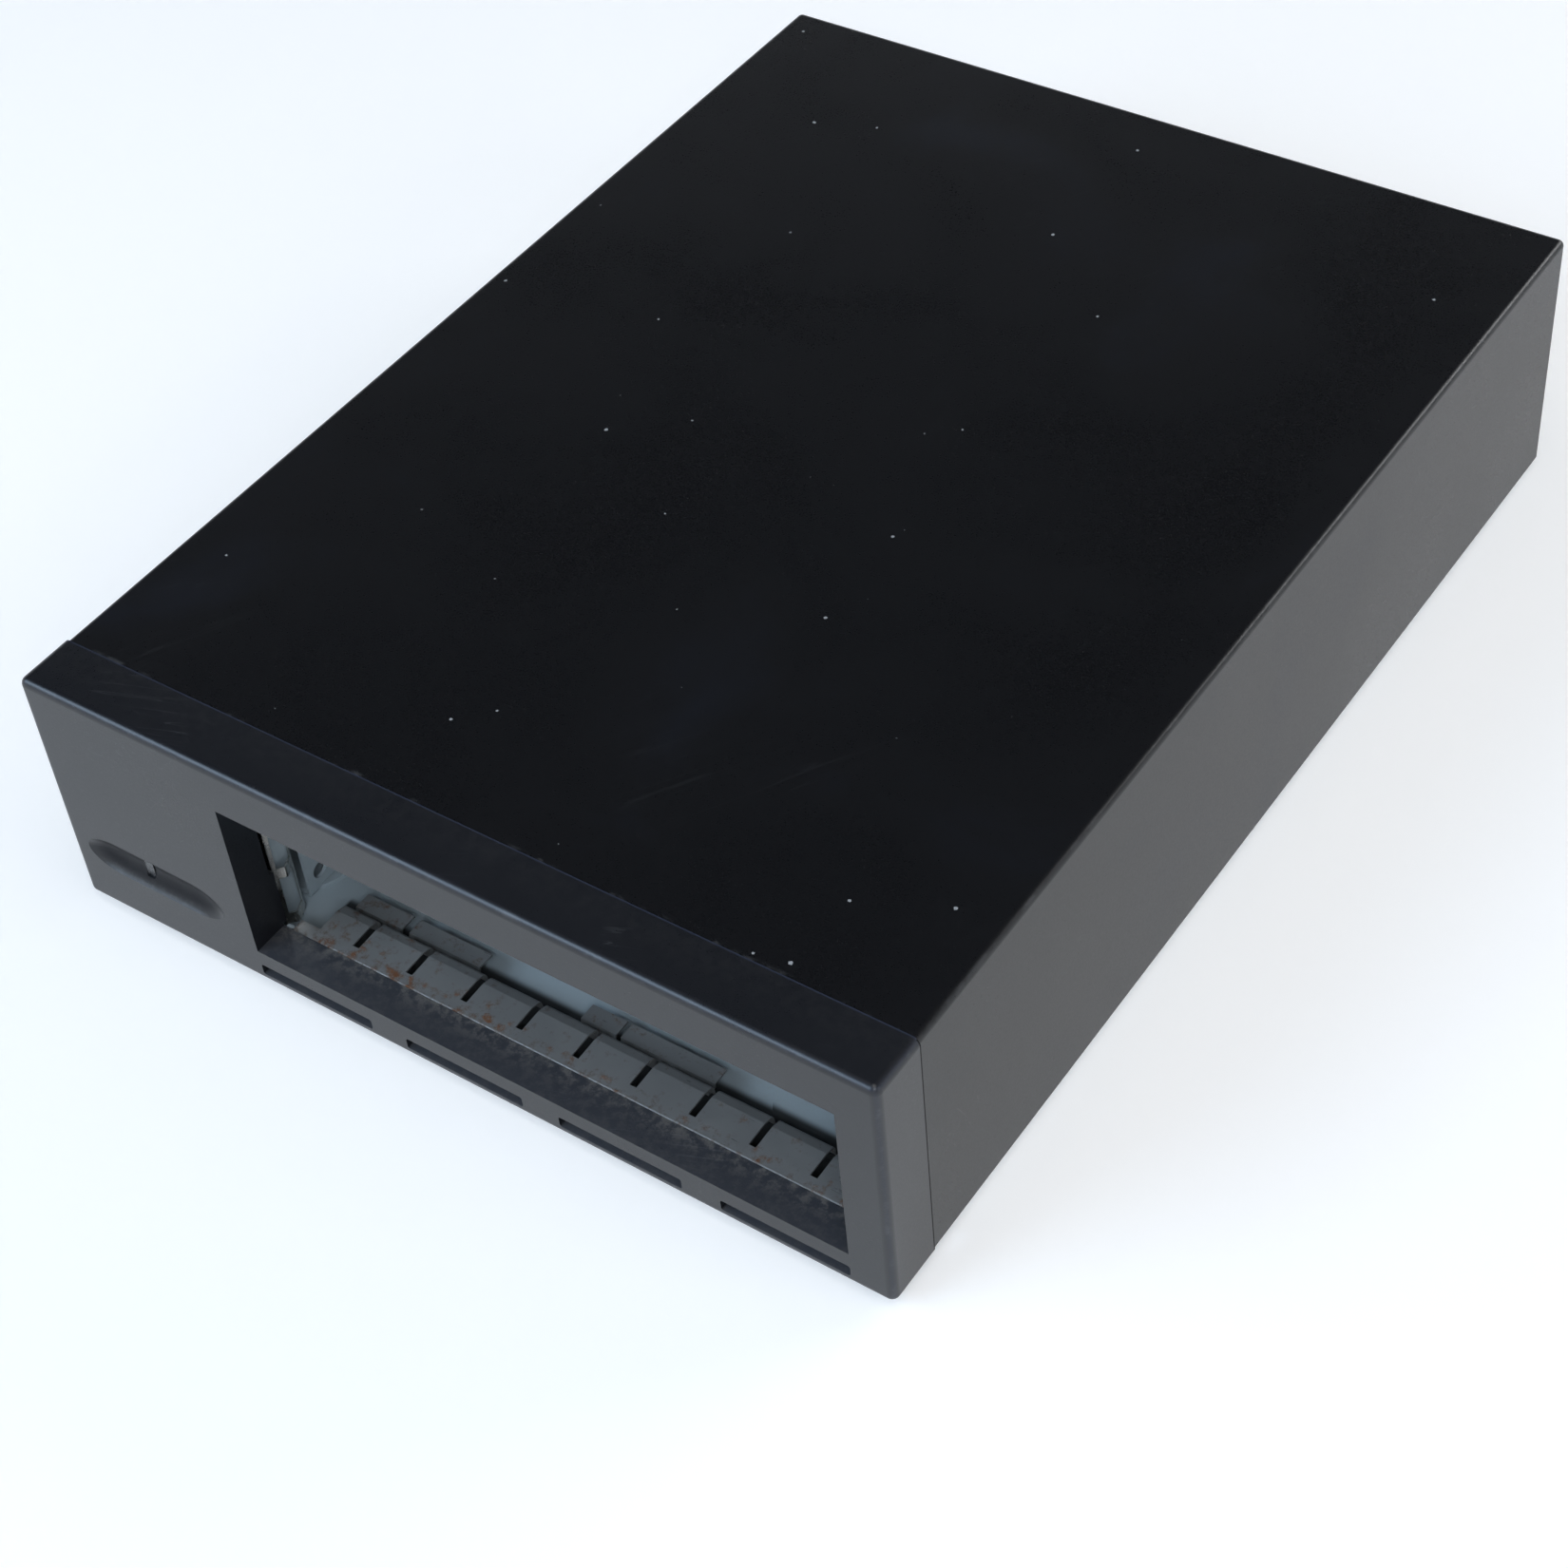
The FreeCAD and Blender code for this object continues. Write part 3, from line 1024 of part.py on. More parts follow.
def drive_bracket(side, x):
    """L-shaped bracket with the drive's two side holes, its foot turned away from the bay."""
    top = DRIVE_HOLE_Z + BRACKET_RISE
    foot_z = FLOOR_TOP + BRACKET_T / 2
    wall = bent_sheet([(x + side * (BRACKET_T / 2 + BRACKET_FOOT), foot_z), (x, foot_z), (x, top)],
                      BRACKET_T, BRACKET_BEND_R, xz(BRACKET_Y0), Y_AXIS * (BRACKET_Y1 - BRACKET_Y0))
    holes = [rod(DRIVE_HOLE_R, Vector(x - BRACKET_T, y, DRIVE_HOLE_Z), BRACKET_T * 2, X_AXIS)
             for y in DRIVE_HOLE_YS]
    holes += [rod(BRACKET_SCREW_R + FIT / 2, Vector(sx, sy, FLOOR_TOP - 1), BRACKET_T + 2, Z_AXIS)
              for sx, sy in BRACKET_SCREWS if sx * side > x * side]
    return cut(wall, holes + seat_reliefs())


def bracket_screw(x, y):
    """Countersunk screw from below, flush with the chassis."""
    profile = outline([(0, 0), (BRACKET_SCREW_HEAD, 0), (BRACKET_SCREW_R, SHEET * 0.75),
                       (BRACKET_SCREW_R, SHEET + BRACKET_T + 0.8), (0, SHEET + BRACKET_T + 0.8)],
                      lambda u, v: Vector(x + u, y, FLOOR_BOTTOM + v))
    return turned(profile, Vector(x, y, 0), Z_AXIS)


# ---- fan ----
def fan_frame():
    """Square fan housing with a tube between two flanges and a hub cup on four struts."""
    half = FAN_SIZE / 2

    def flange(y):
        return rounded_block(FAN_X - half, FAN_X + half, FAN_Z - half, FAN_Z + half, FAN_CORNER_R,
                             xz(y), Y_AXIS * FAN_FLANGE)

    tube = rod(FAN_BORE_R + FAN_TUBE_WALL, Vector(FAN_X, FAN_FRONT, FAN_Z), FAN_DEPTH, Y_AXIS)
    bore = rod(FAN_BORE_R, Vector(FAN_X, FAN_FRONT - 1, FAN_Z), FAN_DEPTH + 2, Y_AXIS)
    holes = [rod(FAN_HOLE_R, Vector(x, FAN_FRONT - 1, z), FAN_DEPTH + 2, Y_AXIS) for x, z in FAN_CORNERS]
    housing = cut(fuse([flange(FAN_FRONT), flange(FAN_REAR - FAN_FLANGE), tube]), [bore] + holes)
    cup = rod(HUB_CUP_R, Vector(FAN_X, CUP_Y, FAN_Z), HUB_CUP_D, Y_AXIS)
    struts = []
    for i in range(STRUTS):
        strut = box(HUB_CUP_R - 2, FAN_BORE_R + FAN_TUBE_WALL / 2, CUP_Y, CUP_Y + HUB_CUP_D,
                    -STRUT_W / 2, STRUT_W / 2)
        strut.rotate(Vector(0, 0, 0), Y_AXIS, 20 + i * 360 / STRUTS)
        strut.translate(Vector(FAN_X, 0, FAN_Z))
        struts.append(strut)
    return fuse([housing, cup] + struts)


def fan_bearing():
    """Turned tube that stands on the hub cup, bored for the shaft."""
    y = CUP_Y - BEARING_L
    tube = rod(BEARING_TUBE_R, Vector(FAN_X, y, FAN_Z), BEARING_L, Y_AXIS)
    return tube.cut(rod(SHAFT_R + SHAFT_PLAY, Vector(FAN_X, y - 1, FAN_Z), BEARING_L + 2, Y_AXIS))


def magnet_inner_r():
    return ROTOR_R - ROTOR_WALL - MAGNET_T


def fan_stator():
    """Laminated core with poles round the bearing tube, and its windings."""
    outer = magnet_inner_r() - STATOR_AIR_GAP
    y = CUP_Y - STATOR_L - 1
    core = rod(BEARING_TUBE_R + 2.2, Vector(FAN_X, y, FAN_Z), STATOR_L, Y_AXIS)
    pieces = [core]
    rim = rod(outer, Vector(FAN_X, y, FAN_Z), STATOR_L, Y_AXIS).cut(
        rod(outer - 1.4, Vector(FAN_X, y - 1, FAN_Z), STATOR_L + 2, Y_AXIS))
    for i in range(STATOR_POLES):
        slot = box(outer - 2, outer + 1, y - 1, y + STATOR_L + 1, -1.2, 1.2)
        slot.rotate(Vector(0, 0, 0), Y_AXIS, 45 + i * 360 / STATOR_POLES)
        slot.translate(Vector(FAN_X, 0, FAN_Z))
        rim = rim.cut(slot)
        arm = box(BEARING_TUBE_R + 1, outer - 0.7, y + 0.6, y + STATOR_L - 0.6, -2.6, 2.6)
        arm.rotate(Vector(0, 0, 0), Y_AXIS, i * 360 / STATOR_POLES)
        arm.translate(Vector(FAN_X, 0, FAN_Z))
        pieces.append(arm)
    return fuse(pieces + [rim]).cut(rod(BEARING_TUBE_R, Vector(FAN_X, y - 1, FAN_Z), STATOR_L + 2, Y_AXIS))


def fan_blade():
    """One twisted blade, lofted from its root to its tip and trimmed to the tip circle."""
    tip_r = FAN_BORE_R - BLADE_TIP_GAP
    front = FAN_FRONT + ROTOR_FRONT_GAP + 1.0
    rear = CUP_Y - ROTOR_REAR_GAP - 1.0
    middle_y = (front + rear) / 2

    def section(radius, chord, angle):
        along = Vector(math.cos(math.radians(angle)), math.sin(math.radians(angle)), 0)
        across = Vector(-along.y, along.x, 0)
        spot = Vector(0, middle_y, radius)
        camber = chord * 0.07
        lead, tail = spot - along * (chord / 2), spot + along * (chord / 2)
        top = spot + across * (camber + BLADE_T / 2)
        low = spot + across * (camber - BLADE_T / 2)
        return Part.Wire([Part.Arc(lead, top, tail).toShape(), Part.Arc(tail, low, lead).toShape()])

    blade = Part.makeLoft([section(ROTOR_R - 1.0, BLADE_ROOT_CHORD, BLADE_ROOT_ANGLE),
                           section(tip_r + 1.0, BLADE_TIP_CHORD, BLADE_TIP_ANGLE)], True, True)
    keep = rod(tip_r, Vector(0, front, 0), rear - front, Y_AXIS)
    return blade.common(keep)


def fan_rotor():
    """Hub cup with its blades and the boss that holds the shaft."""
    y0 = FAN_FRONT + ROTOR_FRONT_GAP
    y1 = CUP_Y - ROTOR_REAR_GAP
    hub = rod(ROTOR_R, Vector(0, y0, 0), y1 - y0, Y_AXIS)
    hub = chamfer_rim(hub, ROTOR_EDGE, lambda e: e.CenterOfMass.y < (y0 + y1) / 2)
    hollow = rod(ROTOR_R - ROTOR_WALL, Vector(0, y0 + ROTOR_WALL, 0), y1 - y0, Y_AXIS)
    boss_end = CUP_Y - BEARING_L - SHAFT_PLAY * 6
    boss = rod(ROTOR_BOSS_R, Vector(0, y0 + ROTOR_WALL - 0.01, 0), boss_end - y0 - ROTOR_WALL, Y_AXIS)
    rotor = [hub.cut(hollow), boss]
    blade = fan_blade().cut(rod(ROTOR_R - ROTOR_WALL / 2, Vector(0, 0, 0), CASE_D, Y_AXIS))
    for i in range(BLADES):
        turned_blade = blade.copy()
        turned_blade.rotate(Vector(0, 0, 0), Y_AXIS, i * 360 / BLADES)
        rotor.append(turned_blade)
    body = fuse(rotor).cut(rod(SHAFT_R, Vector(0, y0 + ROTOR_WALL / 2, 0), FAN_DEPTH, Y_AXIS))
    body.translate(Vector(FAN_X, 0, FAN_Z))
    return body


def fan_shaft():
    start = FAN_FRONT + ROTOR_FRONT_GAP + ROTOR_WALL / 2
    return rod(SHAFT_R, Vector(FAN_X, start, FAN_Z), CUP_Y - 1 - start, Y_AXIS)


def fan_magnet_ring():
    y0 = FAN_FRONT + ROTOR_FRONT_GAP + ROTOR_WALL
    y1 = CUP_Y - ROTOR_REAR_GAP
    ring = rod(ROTOR_R - ROTOR_WALL, Vector(FAN_X, y0, FAN_Z), y1 - y0, Y_AXIS)
    return ring.cut(rod(magnet_inner_r(), Vector(FAN_X, y0 - 1, FAN_Z), y1 - y0 + 2, Y_AXIS))


# ---- SCSI ports ----
def tapered_face(x, z, width, height, taper, radius, place):
    """Port outline: wider above, sides leaning in towards the bottom."""
    points = [(x - width / 2 + taper, z - height / 2), (x + width / 2 - taper, z - height / 2),
              (x + width / 2, z + height / 2), (x - width / 2, z + height / 2)]
    block = outline(points, place)
    normal = block.normalAt(0, 0)
    prism = block.extrude(normal)
    prism = fillet_where(prism, radius, lambda e: is_along(e, normal))
    for face in prism.Faces:
        if abs(face.CenterOfMass.sub(block.CenterOfMass).dot(normal)) < 1e-6 and len(face.Edges) > 4:
            return face
    return block


def scsi_shell(x, z):
    """Plated shell with its mounting flange behind the panel."""
    shell = tapered_face(x, z, SHELL_W, SHELL_H, SHELL_TAPER, SHELL_R, xz(PANEL_INNER - SHEET))
    shell = shell.extrude(Y_AXIS * (SHEET * 2 + SHELL_REACH))
    inner = tapered_face(x, z, SHELL_W - 2 * SHELL_T, SHELL_H - 2 * SHELL_T, SHELL_TAPER,
                         SHELL_R - SHELL_T, xz(PANEL_INNER - SHEET - 1))
    inner = inner.extrude(Y_AXIS * (SHEET * 2 + SHELL_REACH + 3))
    flange = rounded_block(x - PORT_FLANGE_W / 2, x + PORT_FLANGE_W / 2, z - PORT_FLANGE_H / 2,
                           z + PORT_FLANGE_H / 2, 2.0, xz(PANEL_INNER - SHEET), Y_AXIS * SHEET)
    holes = [rod(JACK_THREAD_R + FIT, Vector(x + side * JACK_PITCH / 2, PANEL_INNER - SHEET - 1, z),
                 SHEET + 2, Y_AXIS) for side in (-1, 1)]
    return cut(fuse([shell, flange]), [inner] + holes)


def contact_places(x, z):
    first = x - (CONTACTS - 1) * CONTACT_PITCH / 2
    return [(first + i * CONTACT_PITCH, z + row * CONTACT_ROWS / 2)
            for row in (-1, 1) for i in range(CONTACTS)]


def scsi_insulator(x, z):
    """Black block in the shell, with a slot for each contact, and the body behind the panel."""
    face_y = CASE_D + SHELL_REACH - INSULATOR_SETBACK
    back_y = PANEL_INNER - SHEET
    play = SHELL_T + FIT / 2
    tongue = tapered_face(x, z, SHELL_W - 2 * play, SHELL_H - 2 * play, SHELL_TAPER, SHELL_R - SHELL_T,
                          xz(back_y - 0.01)).extrude(Y_AXIS * (face_y - back_y + 0.01))
    body = box(x - SHELL_W / 2 - 1, x + SHELL_W / 2 + 1, back_y - INSULATOR_BACK, back_y,
               z - PORT_FLANGE_H / 2 + 0.5, z + PORT_FLANGE_H / 2 - 0.5)
    slots = [box(cx - CONTACT_W / 2, cx + CONTACT_W / 2, face_y - CONTACT_DEEP, face_y + 1,
                 cz - CONTACT_H / 2, cz + CONTACT_H / 2) for cx, cz in contact_places(x, z)]
    return cut(fuse([tongue, body]), slots)


def scsi_contacts(x, z):
    face_y = CASE_D + SHELL_REACH - INSULATOR_SETBACK
    half_w, half_h = CONTACT_W / 2 - 0.1, CONTACT_H / 2 - 0.25
    return Part.makeCompound([box(cx - half_w, cx + half_w, face_y - CONTACT_DEEP, face_y - CONTACT_SETBACK,
                                  cz - half_h, cz + half_h) for cx, cz in contact_places(x, z)])


def jackscrew(x, z):
    """Standoff screw: threaded shank through panel and flange, bored head outside."""
    head = rod(JACK_R, Vector(x, CASE_D, z), JACK_L, Y_AXIS)
    shank = rod(JACK_THREAD_R, Vector(x, PANEL_INNER - SHEET - JACK_BACK, z),
                SHEET * 2 + JACK_BACK + 0.01, Y_AXIS)
    bore = rod(JACK_BORE_R, Vector(x, CASE_D + JACK_L - JACK_BORE_L, z), JACK_BORE_L + 1, Y_AXIS)
    return fuse([head, shank]).cut(bore)


# ---- mains inlet ----
def socket_face(grow, place):
    """Inlet socket: lower corners cut off."""
    half_w, half_h, chamfer = SOCKET_W / 2 + grow, SOCKET_H / 2 + grow, SOCKET_CHAMFER
    z = INLET_MID_Z
    return outline([(INLET_X - half_w, z + half_h), (INLET_X - half_w, z - half_h + chamfer),
                    (INLET_X - half_w + chamfer, z - half_h), (INLET_X + half_w - chamfer, z - half_h),
                    (INLET_X + half_w, z - half_h + chamfer), (INLET_X + half_w, z + half_h)], place)


def inlet_pin_places():
    live_z = INLET_MID_Z + PIN_RISE
    return [(INLET_X - PIN_PITCH / 2, live_z), (INLET_X + PIN_PITCH / 2, live_z),
            (INLET_X, live_z - EARTH_DROP)]


def inlet_housing():
    z = INLET_MID_Z
    face = rounded_block(INLET_X - INLET_W / 2, INLET_X + INLET_W / 2, z - INLET_H / 2, z + INLET_H / 2,
                         INLET_R, xz(CASE_D), Y_AXIS * INLET_PROUD)
    face = fillet_where(face, 0.6, lambda e: e.CenterOfMass.y > CASE_D + INLET_PROUD - 0.01)
    body = box(INLET_X - INLET_BODY_W / 2, INLET_X + INLET_BODY_W / 2, CASE_D - INLET_BACK, CASE_D + 0.01,
               z - INLET_BODY_H / 2, z + INLET_BODY_H / 2)
    mouth = CASE_D + INLET_PROUD
    socket = socket_face(0, xz(mouth - SOCKET_D)).extrude(Y_AXIS * (SOCKET_D + 1))
    holes = [box(px - PIN_W / 2, px + PIN_W / 2, CASE_D - INLET_BACK - 1, mouth,
                 pz - PIN_H / 2, pz + PIN_H / 2)
             for px, pz in inlet_pin_places()]
    return cut(fuse([face, body]), [socket] + holes)


def inlet_pin(x, z):
    tip = CASE_D + INLET_PROUD - PIN_SETBACK
    tail = CASE_D - INLET_BACK - PIN_TAIL
    pin = box(x - PIN_W / 2, x + PIN_W / 2, tail, tip, z - PIN_H / 2, z + PIN_H / 2)
    return pin.makeChamfer(0.4, [e for e in pin.Edges if e.CenterOfMass.y > tip - 0.01])


# ---- power switch ----
PIVOT_Y = CASE_D + SWITCH_PROUD - ROCKER_DEPTH


def switch_housing():
    x, z = SWITCH_X, SWITCH_MID_Z
    frame = rounded_block(x - SWITCH_W / 2, x + SWITCH_W / 2, z - SWITCH_H / 2, z + SWITCH_H / 2,
                          SWITCH_R, xz(CASE_D), Y_AXIS * SWITCH_PROUD)
    frame = fillet_where(frame, 0.5, lambda e: e.CenterOfMass.y > CASE_D + SWITCH_PROUD - 0.01)
    body = box(x - SWITCH_BODY_W / 2, x + SWITCH_BODY_W / 2, CASE_D - SWITCH_BACK, CASE_D + 0.01,
               z - SWITCH_BODY_H / 2, z + SWITCH_BODY_H / 2)
    well_w = ROCKER_W / 2 + ROCKER_SIDE_GAP
    well = rod(ROCKER_R + ROCKER_GAP, Vector(x - well_w, PIVOT_Y, z), 2 * well_w, X_AXIS)
    well = well.common(box(x - well_w, x + well_w, PIVOT_Y - ROCKER_CELLAR, PIVOT_Y + 20,
                           z - SWITCH_H, z + SWITCH_H))
    pivot = rod(ROCKER_PIN_R + ROCKER_PIN_PLAY, Vector(x - SWITCH_BODY_W / 2 - 1, PIVOT_Y, z),
                SWITCH_BODY_W + 2, X_AXIS)
    return cut(fuse([frame, body]), [well, pivot])


def power_rocker():
    """V-faced rocker on two stub pins, set with its lower end pressed in (off)."""
    x, z = SWITCH_X, SWITCH_MID_Z
    half_w = ROCKER_W / 2
    disc = rod(ROCKER_R, Vector(x - half_w, PIVOT_Y, z), ROCKER_W, X_AXIS)
    rise = ROCKER_CROWN + ROCKER_R * math.tan(math.radians(ROCKER_TILT))
    keep = outline([(PIVOT_Y - ROCKER_KEEL, z - ROCKER_R), (PIVOT_Y + rise, z - ROCKER_R),
                    (PIVOT_Y + ROCKER_CROWN, z), (PIVOT_Y + rise, z + ROCKER_R),
                    (PIVOT_Y - ROCKER_KEEL, z + ROCKER_R)], yz(x - half_w)).extrude(X_AXIS * ROCKER_W)
    body = disc.common(keep)
    pin_half = SWITCH_BODY_W / 2 - ROCKER_PIN_END
    pins = rod(ROCKER_PIN_R, Vector(x - pin_half, PIVOT_Y, z), 2 * pin_half, X_AXIS)
    rocker = fuse([body, pins])
    rocker.rotate(Vector(x, PIVOT_Y, z), X_AXIS, -ROCKER_TILT)
    return rocker


def switch_terminals():
    """Four blade tabs behind the power switch."""
    back = CASE_D - SWITCH_BACK
    half_w = BLADE_TAB_W / 2
    return Part.makeCompound([
        box(SWITCH_X + sx * SWITCH_BODY_W / 4 - BLADE_TAB_T / 2,
            SWITCH_X + sx * SWITCH_BODY_W / 4 + BLADE_TAB_T / 2,
            back - BLADE_TAB_L, back, SWITCH_MID_Z + sz * BLADE_TAB_PITCH / 2 - half_w * 0.6,
            SWITCH_MID_Z + sz * BLADE_TAB_PITCH / 2 + half_w * 0.6) for sx in (-1, 1) for sz in (-1, 1)])


# ---- ID switch ----
ID_FACE = CASE_D + ID_PROUD
WHEEL_Y = ID_FACE - WHEEL_SETBACK - WHEEL_R
WHEEL_HALF = (WHEEL_W + RATCHET_W) / 2


def id_switch_housing():
    x, z = ID_X, ID_MID_Z
    frame = rounded_block(x - ID_W / 2, x + ID_W / 2, z - ID_H / 2, z + ID_H / 2, ID_R,
                          xz(CASE_D), Y_AXIS * ID_PROUD)
    body = box(x - ID_BODY_W / 2, x + ID_BODY_W / 2, CASE_D - ID_BACK, CASE_D + 0.01,
               z - ID_BODY_H / 2, z + ID_BODY_H / 2)
    half = WHEEL_HALF + WHEEL_SIDE_GAP
    reach = WHEEL_R + WHEEL_CHAMBER_GAP
    chamber = box(x - half, x + half, WHEEL_Y - reach, ID_FACE - ID_FRONT_WALL, z - reach, z + reach)
    window = box(x - WHEEL_HALF - WINDOW_SIDE, x - WHEEL_HALF + WHEEL_W + WINDOW_SIDE,
                 ID_FACE - ID_FRONT_WALL - 0.1, ID_FACE + 1, z - WINDOW_H / 2, z + WINDOW_H / 2)
    axle = rod(WHEEL_AXLE_R + WHEEL_AXLE_PLAY, Vector(x - half - WHEEL_AXLE_L, WHEEL_Y, z),
               2 * (half + WHEEL_AXLE_L), X_AXIS)
    cuts = [chamber, window, axle]
    for side in (-1, 1):
        low, high = sorted((z + side * (BUTTON_LOW - BUTTON_PLAY), z + side * (BUTTON_HIGH + BUTTON_PLAY)))
        slot_half = BUTTON_W / 2 + BUTTON_PLAY
        leg_half = BUTTON_LEG_W / 2 + BUTTON_PLAY
        cuts.append(box(x - slot_half, x + slot_half, ID_FACE - ID_FRONT_WALL - 0.1, ID_FACE + 1, low, high))
        cuts.append(box(x - leg_half, x + leg_half,
                        ID_FACE - ID_FRONT_WALL - BUTTON_LEG_L - BUTTON_TRAVEL - 0.6,
                        ID_FACE - ID_FRONT_WALL, low, high))
    return cut(fuse([frame, body]), cuts)


def id_digit_wheel():
    """Numbered wheel with a ratchet ring beside it and stub axles."""
    x0 = ID_X - WHEEL_HALF
    centre = Vector(x0, WHEEL_Y, ID_MID_Z)
    drum = rod(WHEEL_R, centre, WHEEL_W, X_AXIS)
    ring = rod(RATCHET_R, centre + X_AXIS * (WHEEL_W - 0.01), RATCHET_W + 0.01, X_AXIS)
    teeth = []
    for i in range(RATCHET_TEETH):
        angle = math.radians(i * 360 / RATCHET_TEETH)
        teeth.append(rod(0.45, centre + Vector(WHEEL_W + 0.01, RATCHET_R * math.cos(angle),
                                               RATCHET_R * math.sin(angle)), RATCHET_W + 1, X_AXIS))
    end = WHEEL_SIDE_GAP + WHEEL_AXLE_L - 0.1
    axle = rod(WHEEL_AXLE_R, Vector(x0 - end, WHEEL_Y, ID_MID_Z), 2 * (WHEEL_HALF + end), X_AXIS)
    return fuse([drum, cut(ring, teeth), axle])


def id_button(side):
    """Push tab with a wider leg behind the front wall, which guides and keeps it."""
    x, z = ID_X, ID_MID_Z
    low, high = sorted((z + side * BUTTON_LOW, z + side * BUTTON_HIGH))
    cap = box(x - BUTTON_W / 2, x + BUTTON_W / 2, ID_FACE - BUTTON_IN - 0.15, ID_FACE + BUTTON_PROUD,
              low, high)
    inner = z + side * (BUTTON_HIGH - BUTTON_LEG_T)
    leg_low, leg_high = sorted((inner, z + side * BUTTON_HIGH))
    start = ID_FACE - ID_FRONT_WALL - 0.05
    leg = box(x - BUTTON_LEG_W / 2, x + BUTTON_LEG_W / 2, start - BUTTON_LEG_L, start, leg_low, leg_high)
    return fuse([cap, leg])


# ---- power supply ----
def psu_board():
    board = box(BOARD_X0, BOARD_X0 + BOARD_W, BOARD_Y, BOARD_Y + BOARD_L, BOARD_BOTTOM, BOARD_TOP)
    return cut(board, [rod(BOARD_SCREW_R + SCREW_PLAY, Vector(x, y, BOARD_BOTTOM - 1), BOARD_T + 2, Z_AXIS)
                       for x, y in BOARD_CORNERS])


def psu_standoff(x, y):
    turns = [math.radians(60 * i) for i in range(6)]
    hexagon = [(x + STANDOFF_R * math.cos(turn), y + STANDOFF_R * math.sin(turn)) for turn in turns]
    post = outline(hexagon, xy(FLOOR_TOP)).extrude(Z_AXIS * STANDOFF_H)
    bore = rod(BOARD_SCREW_R + SCREW_PLAY / 2, Vector(x, y, FLOOR_TOP + 1), STANDOFF_H, Z_AXIS)
    return post.cut(bore)


def psu_board_screw(x, y):
    profile = outline([(0, -BOARD_SCREW_L), (BOARD_SCREW_R, -BOARD_SCREW_L), (BOARD_SCREW_R, 0),
                       (BOARD_SCREW_HEAD_R, 0), (BOARD_SCREW_HEAD_R, BOARD_SCREW_HEAD_H * 0.6),
                       (BOARD_SCREW_HEAD_R * 0.7, BOARD_SCREW_HEAD_H), (0, BOARD_SCREW_HEAD_H)],
                      lambda u, v: Vector(x + u, y, BOARD_TOP + v))
    return turned(profile, Vector(x, y, 0), Z_AXIS)


def psu_transformer():
    """Ferrite core round a wound bobbin."""
    width = BOARD_W - 2 * TRANSFORMER_MARGIN
    x = BOARD_X0 + BOARD_W / 2
    core = box(x - width / 2, x + width / 2, TRANSFORMER_Y - TRANSFORMER_L / 4,
               TRANSFORMER_Y + TRANSFORMER_L / 4, BOARD_TOP, BOARD_TOP + TRANSFORMER_H)
    coil = rounded_block(x - width / 2 + TRANSFORMER_BOBBIN, x + width / 2 - TRANSFORMER_BOBBIN,
                         BOARD_TOP + TRANSFORMER_BOBBIN, BOARD_TOP + TRANSFORMER_H - TRANSFORMER_BOBBIN,
                         TRANSFORMER_BOBBIN, xz(TRANSFORMER_Y - TRANSFORMER_L / 2), Y_AXIS * TRANSFORMER_L)
    return fuse([core, coil])


def psu_capacitor(y):
    x = BOARD_X0 + BOARD_W - CAPACITOR_R - EDGE_MARGIN
    can = rod(CAPACITOR_R, Vector(x, y, BOARD_TOP), CAPACITOR_H, Z_AXIS)
    return chamfer_rim(can, CAPACITOR_EDGE, lambda e: e.CenterOfMass.z > BOARD_TOP + CAPACITOR_H / 2)


def psu_heatsink(y):
    """Folded aluminium plate standing at the board's outer edge."""
    x = BOARD_X0 + HEATSINK_INSET
    return bent_sheet([(x + HEATSINK_FOOT, BOARD_TOP + HEATSINK_T / 2), (x, BOARD_TOP + HEATSINK_T / 2),
                       (x, BOARD_TOP + HEATSINK_H)], HEATSINK_T, HEATSINK_T * 0.6, xz(y),
                      Y_AXIS * HEATSINK_L)


def psu_choke():
    """Wound ring lying on the board."""
    x = BOARD_X0 + BOARD_W - CHOKE_R - EDGE_MARGIN
    ring = rod(CHOKE_R, Vector(x, CHOKE_Y, BOARD_TOP), CHOKE_T, Z_AXIS)
    ring = chamfer_rim(ring, CHOKE_EDGE, lambda e: True)
    return ring.cut(rod(CHOKE_CORE_R, Vector(x, CHOKE_Y, BOARD_TOP - 1), CHOKE_T + 2, Z_AXIS))


def psu_fuse():
    """Glass fuse between two clips."""
    x = BOARD_X0 + BOARD_W - FUSE_INSET
    z = BOARD_TOP + FUSE_R + FUSE_CLIP_T
    tube = rod(FUSE_R, Vector(x, FUSE_Y - FUSE_L / 2, z), FUSE_L, Y_AXIS)
    reach = FUSE_R + FUSE_CLIP_T / 2
    clips = [box(x - reach, x + reach, FUSE_Y + side * FUSE_CLIP_PITCH / 2 - FUSE_CLIP_W / 2,
                 FUSE_Y + side * FUSE_CLIP_PITCH / 2 + FUSE_CLIP_W / 2, BOARD_TOP, z + FUSE_R / 2)
             for side in (-1, 1)]
    return fuse([tube] + clips)


def psu_output_header():
    """Open-topped connector shell with its pins."""
    x = BOARD_X0 + BOARD_W / 2
    y = HEADER_Y
    shell = box(x - HEADER_W / 2, x + HEADER_W / 2, y - HEADER_L / 2, y + HEADER_L / 2,
                BOARD_TOP, BOARD_TOP + HEADER_H)
    well = box(x - HEADER_W / 2 + HEADER_WALL, x + HEADER_W / 2 - HEADER_WALL,
               y - HEADER_L / 2 + HEADER_WALL, y + HEADER_L / 2 - HEADER_WALL,
               BOARD_TOP + HEADER_WALL, BOARD_TOP + HEADER_H + 1)
    first = x - (HEADER_PINS - 1) * HEADER_PITCH / 2
    half = HEADER_PIN / 2
    pins = [box(px - half, px + half, y - half, y + half, BOARD_TOP, BOARD_TOP + HEADER_H * 0.8)
            for px in (first + i * HEADER_PITCH for i in range(HEADER_PINS))]
    return fuse([shell.cut(well)] + pins)


